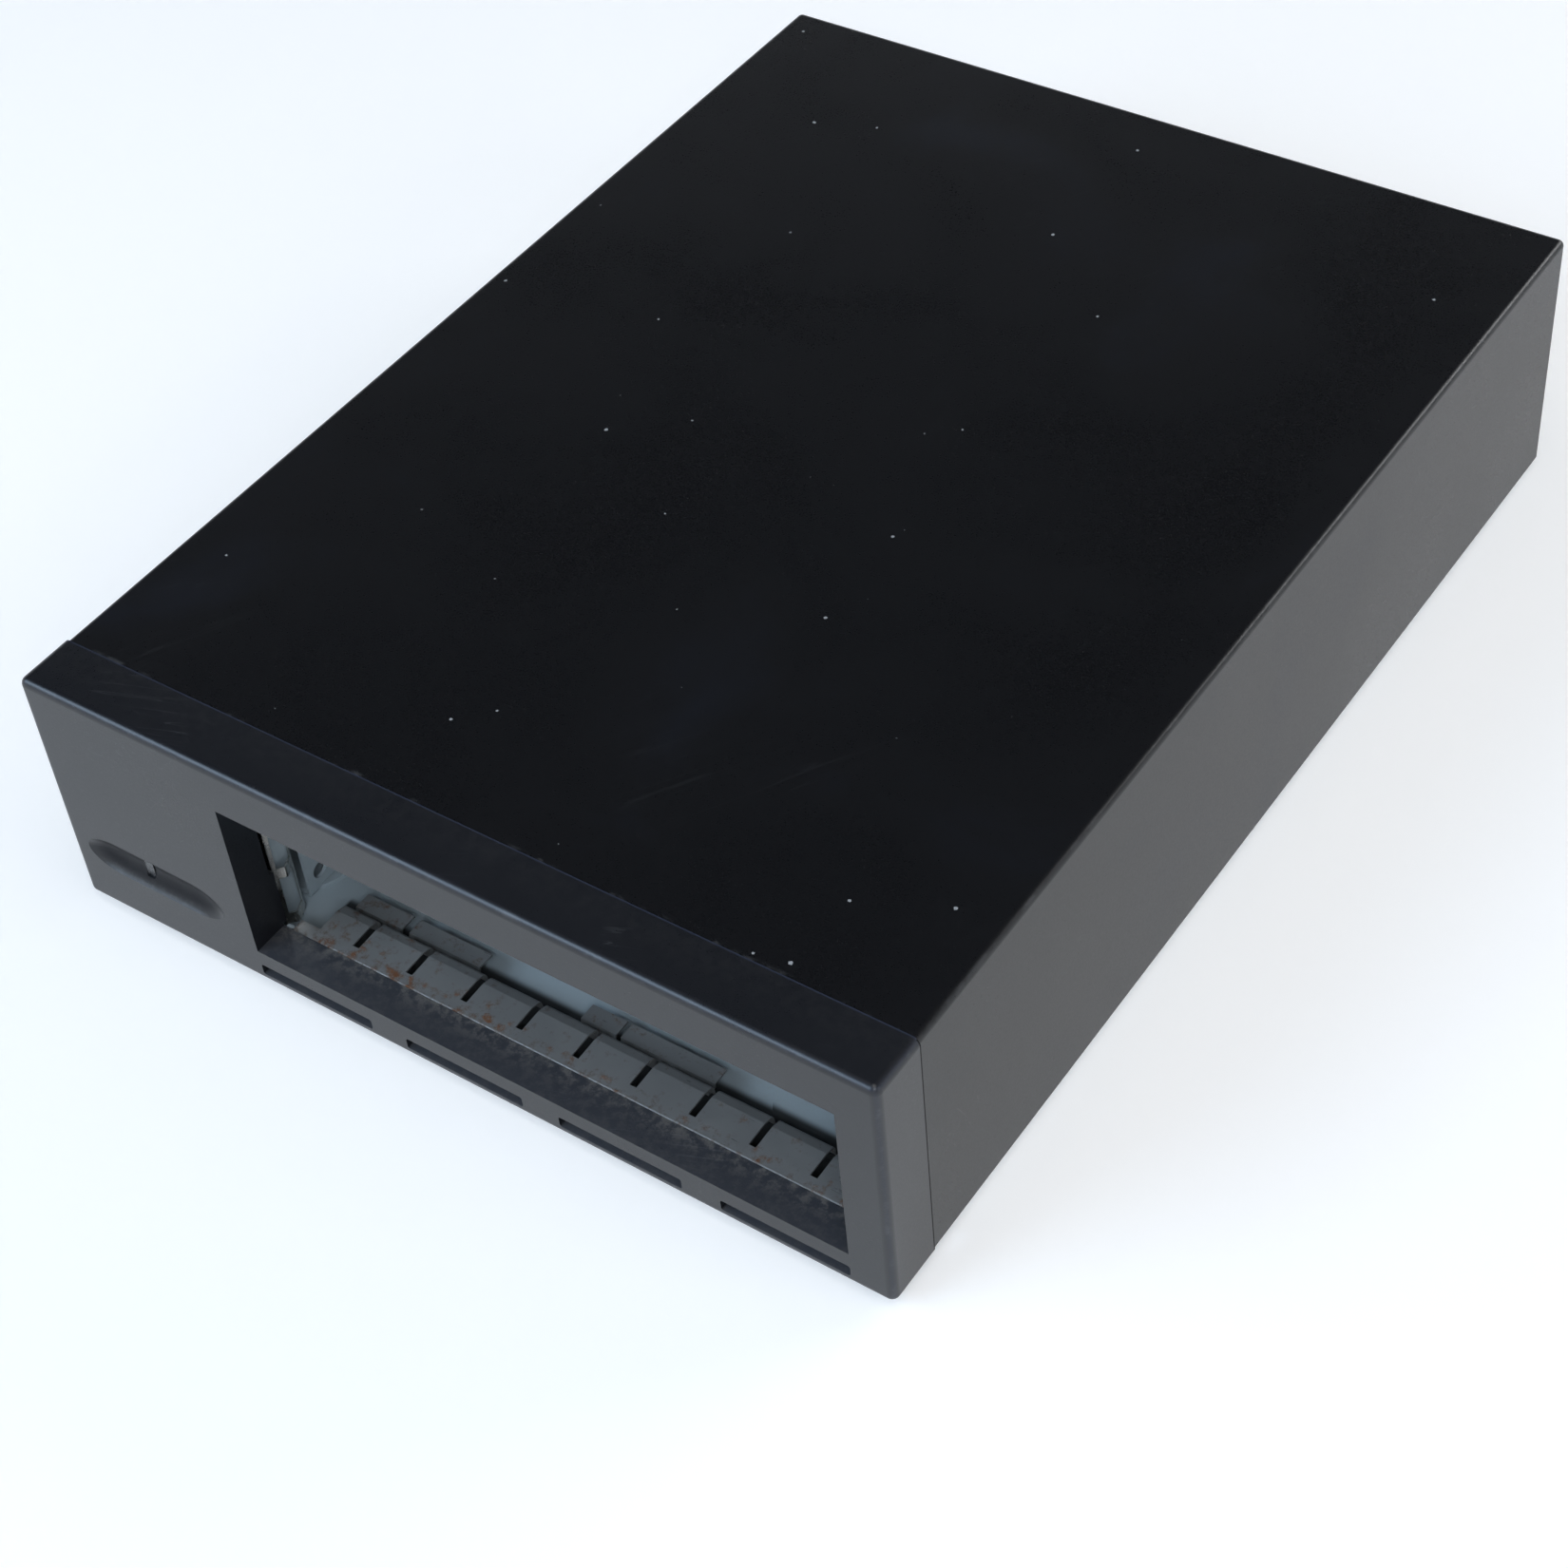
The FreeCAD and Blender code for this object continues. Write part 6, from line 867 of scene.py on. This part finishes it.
# ---- operators ----
class ENCLOSURE_OT_stage(bpy.types.Operator):
    """Floor, lamps, dim room and camera"""
    bl_idname = "enclosure.stage"
    bl_label = "Stage"

    def execute(self, context):
        stage = context.scene.enclosure_stage
        self.lay_floor(context, stage)
        self.hang_lamps(context, stage)
        self.dim_room(context, stage)
        self.set_camera(context, stage)
        return {"FINISHED"}

    def lay_floor(self, context, stage):
        """A round floor that turns up into a low wall, as one mesh."""
        flat, cove = stage.floor_radius, stage.cove_radius
        flat_rings, around = 6, 96
        profile = [(flat * i / flat_rings, 0.0) for i in range(1, flat_rings + 1)]
        profile += [(flat + cove * math.sin(math.radians(a)), cove * (1 - math.cos(math.radians(a))))
                    for a in range(10, 91, 10)]
        profile.append((flat + cove, stage.wall_height))
        bm = bmesh.new()
        rings = [[bm.verts.new((x, y, z)) for x, y in circle(radius, around)] for radius, z in profile]
        hub = bm.verts.new((0.0, 0.0, 0.0))
        for i in range(around):
            j = (i + 1) % around
            bm.faces.new((hub, rings[0][i], rings[0][j]))
            for inner, outer in zip(rings, rings[1:]):
                bm.faces.new((inner[i], outer[i], outer[j], inner[j]))
        for face in bm.faces:
            face.smooth = True
        mesh = bpy.data.meshes.new("studio_floor")
        bm.to_mesh(mesh)
        bm.free()
        floor = bpy.data.objects.new("studio_floor", mesh)
        context.scene.collection.objects.link(floor)
        mesh.materials.append(self.floor_finish(stage))

    def floor_finish(self, stage):
        """Pale matt floor, open when seen from below, with a little glow to the eye and in reflections."""
        finish, tree = blank_finish("pale studio floor")
        matt = put(tree, "ShaderNodeBsdfDiffuse", Color=stage.floor_colour)
        rays = put(tree, "ShaderNodeLightPath").outputs
        seen = calc(tree, "MAXIMUM", calc(tree, "MAXIMUM", rays["Is Camera Ray"], rays["Is Glossy Ray"]),
                    rays["Is Transmission Ray"])
        glow = put(tree, "ShaderNodeEmission", Color=(1.0, 1.0, 1.0),
                   Strength=times(tree, seen, stage.floor_glow))
        both = put(tree, "ShaderNodeAddShader")
        tree.links.new(matt.outputs[0], both.inputs[0])
        tree.links.new(glow.outputs[0], both.inputs[1])
        clear = put(tree, "ShaderNodeBsdfTransparent")
        under = put(tree, "ShaderNodeNewGeometry").outputs["Backfacing"]
        either = put(tree, "ShaderNodeMixShader", Fac=under)
        tree.links.new(both.outputs[0], either.inputs[1])
        tree.links.new(clear.outputs[0], either.inputs[2])
        put(tree, "ShaderNodeOutputMaterial", Surface=either.outputs[0])
        return finish

    def hang_lamps(self, context, stage):
        """Soft rectangular lamps, each with its place, size, power and tint, turned to the enclosure."""
        target = Vector((0.0, 0.0, 0.03))
        for name, place, size, watts, tint in (
                ("overhead_lamp", (0.30, -0.35, 1.75), (1.1, 1.1), stage.overhead_watts, (1.0, 1.0, 1.0)),
                ("key_lamp", (-0.88, -1.26, 1.02), (1.3, 0.85), stage.key_watts, (0.62, 0.80, 1.0)),
                ("fill_lamp", (0.95, -1.25, 1.40), (0.8, 0.6), stage.fill_watts, (0.80, 0.89, 1.0)),
                ("side_lamp", (1.45, 0.10, 0.80), (0.6, 0.5), stage.side_watts, (0.80, 0.89, 1.0)),
                ("rear_lamp", (0.80, 1.42, 0.56), (1.1, 0.8), stage.rear_watts, (0.97, 0.98, 1.0))):
            data = bpy.data.lights.new(name, "AREA")
            data.shape = "RECTANGLE"
            data.size, data.size_y = size
            data.energy = watts
            data.color = tint
            lamp = bpy.data.objects.new(name, data)
            lamp.location = place
            lamp.rotation_euler = (target - Vector(place)).to_track_quat("-Z", "Y").to_euler()
            context.scene.collection.objects.link(lamp)

    def dim_room(self, context, stage):
        """A nearly dark world above the wall, with colours shown as they are."""
        world = bpy.data.worlds.new("dim room")
        world.use_nodes = True
        world.node_tree.nodes["Background"].inputs["Color"].default_value = (*stage.air_colour, 1.0)
        context.scene.world = world
        context.scene.view_settings.view_transform = "Standard"

    def set_camera(self, context, stage):
        """A camera turned by its azimuth, elevation and roll."""
        azimuth, elevation, roll = stage.camera_turn
        ahead = Vector((-math.sin(azimuth) * math.cos(elevation), math.cos(azimuth) * math.cos(elevation),
                        -math.sin(elevation)))
        level = ahead.cross(UP).normalized()
        down = ahead.cross(level)
        right = level * math.cos(roll) + down * math.sin(roll)
        below = -level * math.sin(roll) + down * math.cos(roll)
        data = bpy.data.cameras.new("camera")
        data.sensor_width = 36.0
        data.lens = stage.camera_lens
        data.clip_start, data.clip_end = 0.01, 20.0
        camera = bpy.data.objects.new("camera", data)
        turn = Matrix((right, -below, -ahead)).transposed()
        camera.matrix_world = Matrix.Translation(stage.camera_place) @ turn.to_4x4()
        context.scene.collection.objects.link(camera)
        context.scene.camera = camera


class ENCLOSURE_OT_coats(bpy.types.Operator):
    """Coats of the cover, the chassis and the bezel"""
    bl_idname = "enclosure.coats"
    bl_label = "Coats"

    def execute(self, context):
        paint = context.scene.enclosure_paint
        finish_slot("cover_paint", cover_coat(paint))
        finish_slot("chassis_paint", chassis_coat(paint))
        finish_slot("bezel_plastic", bezel_moulding(paint))
        return {"FINISHED"}


class ENCLOSURE_OT_mouldings(bpy.types.Operator):
    """Black mouldings of the fan, ports, inlet and switches, the feet, and the clear lens"""
    bl_idname = "enclosure.mouldings"
    bl_label = "Mouldings"

    def execute(self, context):
        for slot, name, base, rough, peel in (
                ("fan_plastic", "black fan moulding", (0.014, 0.014, 0.015), 0.38, 0.3),
                ("port_plastic", "black port insulator", (0.010, 0.010, 0.011), 0.42, 0.2),
                ("inlet_plastic", "black inlet moulding", (0.016, 0.0165, 0.018), 0.46, 0.4),
                ("switch_plastic", "black switch moulding", (0.014, 0.0145, 0.016), 0.42, 0.3),
                ("rocker_plastic", "glossy rocker moulding", (0.010, 0.0105, 0.012), 0.27, 0.12),
                ("id_plastic", "black number switch moulding", (0.013, 0.0135, 0.015), 0.44, 0.3),
                ("foot_rubber", "black foot rubber", (0.018, 0.018, 0.018), 0.72, 0.6),
                ("header_nylon", "natural nylon", (0.66, 0.62, 0.50), 0.45, 0.2)):
            finish_slot(slot, moulded(name, base, rough=rough, peel=peel))
        smoke = (0.16, 0.165, 0.175)
        finish_slot("clear_plastic", clear_moulding("smoked lens moulding", smoke, 0.16, 0.85))
        finish_slot("lamp_epoxy", clear_moulding("green lamp epoxy", (0.05, 0.30, 0.08), 0.2, 0.5))
        return {"FINISHED"}


class ENCLOSURE_OT_metals(bpy.types.Operator):
    """Bare and plated metals, with the rusty finger strip"""
    bl_idname = "enclosure.metals"
    bl_label = "Metals"

    def execute(self, context):
        paint = context.scene.enclosure_paint
        finish_slot("spring_steel", rusty_spring(paint))
        for slot, name, base, rough, stretch, share in (
                ("bright_steel", "bright spring steel", (0.62, 0.60, 0.56), 0.24, (1.0, 1.0, 0.1), 0.25),
                ("zinc_steel", "zinc plated steel", (0.50, 0.52, 0.55), 0.36, (1.0, 0.1, 1.0), 0.25),
                ("nickel_screw", "nickel plated screw", (0.70, 0.66, 0.58), 0.22, (1.0, 1.0, 1.0), 0.25),
                ("nickel_shell", "nickel plated shell", (0.70, 0.65, 0.56), 0.30, (0.12, 1.0, 1.0), 0.08),
                ("nickel_pin", "nickel plated pin", (0.50, 0.46, 0.38), 0.28, (1.0, 0.1, 1.0), 0.25),
                ("steel_shaft", "ground steel shaft", (0.55, 0.55, 0.56), 0.2, (1.0, 8.0, 1.0), 0.1),
                ("contact_gold", "gold plated contact", (0.83, 0.60, 0.23), 0.25, (1.0, 0.2, 1.0), 0.12),
                ("bronze_bush", "sintered bronze", (0.50, 0.31, 0.13), 0.45, (1.0, 1.0, 1.0), 0.35),
                ("brass_standoff", "turned brass", (0.72, 0.53, 0.22), 0.28, (1.0, 1.0, 8.0), 0.15),
                ("heatsink_metal", "plain aluminium", (0.66, 0.67, 0.68), 0.34, (1.0, 0.08, 1.0), 0.12)):
            finish_slot(slot, bare_metal(name, base, rough=rough, stretch=stretch, tarnish_share=share))
        return {"FINISHED"}


class ENCLOSURE_OT_electrics(bpy.types.Operator):
    """Finishes of the supply's parts and of the fan's motor"""
    bl_idname = "enclosure.electrics"
    bl_label = "Supply and motor parts"

    def execute(self, context):
        finish_slot("board_laminate", laminate_board())
        finish_slot("choke_winding", wound_wire("enamelled choke winding", middle("psu_choke"), 34,
                                                (0.42, 0.13, 0.035), (0.05, 0.015, 0.006)))
        finish_slot("stator_steel", wound_wire("wound stator", middle("fan_shaft"), 24, (0.36, 0.15, 0.05),
                                               (0.06, 0.04, 0.03), upright=False))
        along_y, along_z = 1, 2
        low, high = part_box("psu_fuse")
        cap, cap_metal = 0.28 * (high.y - low.y), (0.6, 0.58, 0.52)
        caps = [(low.y - MM, low.y + cap, cap_metal, 1.0), (high.y - cap, high.y + MM, cap_metal, 1.0)]
        finish_slot("fuse_glass", banded("ceramic fuse with caps", caps, along_y, (0.74, 0.72, 0.66), 0.35))
        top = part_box("psu_bulk_capacitors")[1].z
        bare_end = [(top - 0.35 * MM, top + MM, (0.55, 0.55, 0.56), 1.0)]
        finish_slot("capacitor_sleeve", banded("sleeved can", bare_end, along_z, (0.012, 0.018, 0.06), 0.26))
        low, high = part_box("psu_transformer")
        edge = 0.24 * (high.y - low.y)
        tape = [(low.y + edge, high.y - edge, (0.52, 0.36, 0.06), 0.0)]
        ferrite = (0.035, 0.033, 0.032)
        finish_slot("ferrite_coil", banded("taped ferrite transformer", tape, along_y, ferrite, 0.5))
        finish_slot("magnet_ring", moulded("bonded magnet", (0.03, 0.03, 0.031), rough=0.55, peel=0.5))
        return {"FINISHED"}


class ENCLOSURE_OT_screws(bpy.types.Operator):
    """Cross-recess pan-head screws of the cover and the fan, on the rear panel"""
    bl_idname = "enclosure.screws"
    bl_label = "Screws"

    def execute(self, context):
        settings = context.scene.enclosure_screws
        finish = SLOT_NODES["nickel_screw"][0].material_slots[0].material
        seat_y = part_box("rear_panel")[1].y
        low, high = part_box("cover_screws")
        radius = (high.z - low.z) / 2
        seats = [(x, seat_y, (low.z + high.z) / 2) for x in (low.x + radius, high.x - radius)]
        screw_set("cover_screw_heads", "cover_screws", seats, radius, high.y - seat_y, 0.49 * radius,
                  seat_y - low.y, settings, finish)
        low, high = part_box("fan_screws")
        radius, shank_radius = 2.6 * MM, 2.0 * MM
        seats = [(x, seat_y, z) for x in (low.x + radius, high.x - radius)
                 for z in (low.z + radius, high.z - radius)]
        screw_set("fan_screw_heads", "fan_screws", seats, radius, high.y - seat_y, shank_radius,
                  seat_y - low.y, settings, finish)
        return {"FINISHED"}


class ENCLOSURE_OT_rocker_marks(bpy.types.Operator):
    """White bar and ring on the two faces of the power rocker"""
    bl_idname = "enclosure.rocker_marks"
    bl_label = "Rocker marks"

    def execute(self, context):
        marks = context.scene.enclosure_marks
        pivot = joint_place("power_switch_tilt")
        # the crease between the rocker's two faces: its distance from the pivot, and the faces' angles
        reach, valley, lean = 3.3 * MM, math.radians(10), math.radians(10)
        bar_rise, ring_drop, corner = 3.4 * MM, 4.6 * MM, 0.12 * MM
        crease = pivot + Vector((0, reach * math.cos(lean), -reach * math.sin(lean)))
        tilt = valley + lean
        up = Vector((0, math.sin(tilt), math.cos(tilt)))
        out = Vector((0, math.cos(tilt), -math.sin(tilt)))
        bm = bmesh.new()
        upper = on_plane(crease + up * bar_rise - out * marks.ink_height, LEFT, up, out)
        prism(bm, rounded_corners(marks.stroke, marks.bar_length, corner, 3), upper, 2 * marks.ink_height)
        lower = on_plane(crease + Vector((0, -marks.ink_height, -ring_drop)))
        ring_band(bm, marks.ring_width / 2, marks.ring_width / 2 - marks.stroke, lower, 2 * marks.ink_height)
        ink = ink_finish("white switch ink", tuple(marks.ink))
        mesh_piece("rocker_marks", bm, ink, "rocker")
        return {"FINISHED"}


class ENCLOSURE_OT_key_marks(bpy.types.Operator):
    """Faded plus and minus on the two push keys of the number switch"""
    bl_idname = "enclosure.key_marks"
    bl_label = "Key marks"

    def execute(self, context):
        marks = context.scene.enclosure_marks
        finish = ink_finish("faded key ink", tuple(marks.faded_ink))
        width, corner, lift = 0.28 * MM, 0.05 * MM, 0.002 * MM
        for node, body, shapes in (("id_plus_button", "plus_key", ((1, 0), (0, 1))),
                                   ("id_minus_button", "minus_key", ((1, 0),))):
            low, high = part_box(node)
            spot = Vector(((low.x + high.x) / 2, high.y - marks.ink_height, (low.z + high.z) / 2))
            bm = bmesh.new()
            for i, (across, upright) in enumerate(shapes):
                wide = marks.key_mark if across else width
                tall = marks.key_mark if upright else width
                prism(bm, rounded_corners(wide, tall, corner, 2), on_plane(spot),
                      2 * marks.ink_height + lift * i)
            mesh_piece(node + "_mark", bm, finish, body)
        return {"FINISHED"}


class ENCLOSURE_OT_wheel_numerals(bpy.types.Operator):
    """Numerals 0 to 9 round the wheel of the number switch"""
    bl_idname = "enclosure.wheel_numerals"
    bl_label = "Wheel numerals"

    def execute(self, context):
        marks = context.scene.enclosure_marks
        low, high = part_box("id_digit_wheel")
        axis = joint_place("digit_turn")
        radius = high.y - axis.y
        off_middle = 0.4 * MM
        middle_x = (low.x + high.x) / 2 - off_middle
        step = 2 * math.pi / marks.numerals
        bm = bmesh.new()
        for value in range(marks.numerals):
            self.wrap_numeral(context, bm, str(value), marks, middle_x, axis, radius, value * step)
        mesh_piece("wheel_numerals", bm, ink_finish("white wheel ink", tuple(marks.ink)),
                   "digit_drum")
        return {"FINISHED"}

    def wrap_numeral(self, context, bm, text, marks, middle_x, axis, radius, angle):
        """Cuts one numeral into thin strips and wraps it round the wheel."""
        height_share, merge, strips = 0.70, 1e-7, 8         # the first is a numeral's share of the type size
        curve = bpy.data.curves.new("numeral", "FONT")
        curve.body = text
        curve.size = marks.numeral / height_share
        curve.extrude = marks.ink_height
        curve.resolution_u = 5
        holder = bpy.data.objects.new("numeral", curve)
        context.scene.collection.objects.link(holder)
        mesh = plain_mesh(holder)
        bpy.data.curves.remove(curve)
        part = bmesh.new()
        part.from_mesh(mesh)
        bpy.data.meshes.remove(mesh)
        bmesh.ops.remove_doubles(part, verts=part.verts, dist=merge)
        lows = Vector(min(v.co[i] for v in part.verts) for i in range(3))
        highs = Vector(max(v.co[i] for v in part.verts) for i in range(3))
        for i in range(1, strips):
            level = lows.y + (highs.y - lows.y) * i / strips
            bmesh.ops.bisect_plane(part, geom=part.verts[:] + part.edges[:] + part.faces[:],
                                   plane_co=(0, level, 0), plane_no=(0, 1, 0))
        corners = {}
        for vert in part.verts:
            across, up, high = vert.co - (lows + highs) / 2
            turn = angle + up / radius
            reach = radius + high
            corners[vert] = bm.verts.new((middle_x - across, axis.y + reach * math.cos(turn),
                                          axis.z + reach * math.sin(turn)))
        for face in part.faces:
            bm.faces.new([corners[v] for v in face.verts])
        part.free()


class ENCLOSURE_OT_labels(bpy.types.Operator):
    """Two bare white labels on the rear panel and the two-tone label on the fan's hub"""
    bl_idname = "enclosure.labels"
    bl_label = "Labels"

    def execute(self, context):
        label = context.scene.enclosure_labels
        panel_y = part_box("rear_panel")[1].y
        paper = label_paper(tuple(label.paper))
        inlet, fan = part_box("inlet_housing"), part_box("fan_frame")
        between = (inlet[1].x + fan[0].x) / 2 + 0.7 * MM
        for name, x, z, width, height, corner in (
                ("tall_label", between, 23.4 * MM, label.pill_width, label.pill_height,
                 0.48 * label.pill_width),
                ("small_label", 81.4 * MM, 7.9 * MM, label.strip_width, label.strip_height, 0.25 * MM)):
            bm = bmesh.new()
            prism(bm, rounded_corners(width, height, corner, 10), on_plane(Vector((x, panel_y, z))),
                  label.thickness)
            mesh_piece(name, bm, paper, "enclosure")
        hub = middle("fan_shaft")
        hub.y = fan[1].y - 0.4 * MM
        bm = bmesh.new()
        prism(bm, circle(label.hub_radius, 72), on_plane(hub), label.thickness)
        mesh_piece("hub_label", bm, hub_paper(label), "enclosure")
        return {"FINISHED"}


OPERATORS = (ENCLOSURE_OT_stage, ENCLOSURE_OT_coats, ENCLOSURE_OT_mouldings, ENCLOSURE_OT_metals,
             ENCLOSURE_OT_electrics, ENCLOSURE_OT_screws, ENCLOSURE_OT_rocker_marks, ENCLOSURE_OT_key_marks,
             ENCLOSURE_OT_wheel_numerals, ENCLOSURE_OT_labels)
GROUPS = (("enclosure_stage", StageSettings), ("enclosure_paint", PaintSettings),
          ("enclosure_screws", ScrewSettings), ("enclosure_marks", MarkSettings),
          ("enclosure_labels", LabelSettings))


class ENCLOSURE_PT_panel(bpy.types.Panel):
    """Lists the enclosure's settings and the steps that make it"""
    bl_idname = "ENCLOSURE_PT_panel"
    bl_label = "Tape drive enclosure"
    bl_space_type = "VIEW_3D"
    bl_region_type = "UI"
    bl_category = "Enclosure"

    def draw(self, context):
        for operator in OPERATORS:
            self.layout.operator(operator.bl_idname)
        for name, group in GROUPS:
            box = self.layout.box()
            box.label(text=name.replace("_", " ").capitalize())
            settings = getattr(context.scene, name)
            for key in group.__annotations__:
                box.prop(settings, key)


def register():
    for _name, group in GROUPS:
        bpy.utils.register_class(group)
    for operator in OPERATORS:
        bpy.utils.register_class(operator)
    bpy.utils.register_class(ENCLOSURE_PT_panel)
    for name, group in GROUPS:
        setattr(bpy.types.Scene, name, PointerProperty(type=group))


def unregister():
    for name, _group in GROUPS:
        delattr(bpy.types.Scene, name)
    bpy.utils.unregister_class(ENCLOSURE_PT_panel)
    for operator in reversed(OPERATORS):
        bpy.utils.unregister_class(operator)
    for _name, group in reversed(GROUPS):
        bpy.utils.unregister_class(group)


def main():
    register()
    for operator in OPERATORS:
        category, name = operator.bl_idname.split(".")
        getattr(getattr(bpy.ops, category), name)()


if __name__ == "__main__":
    main()
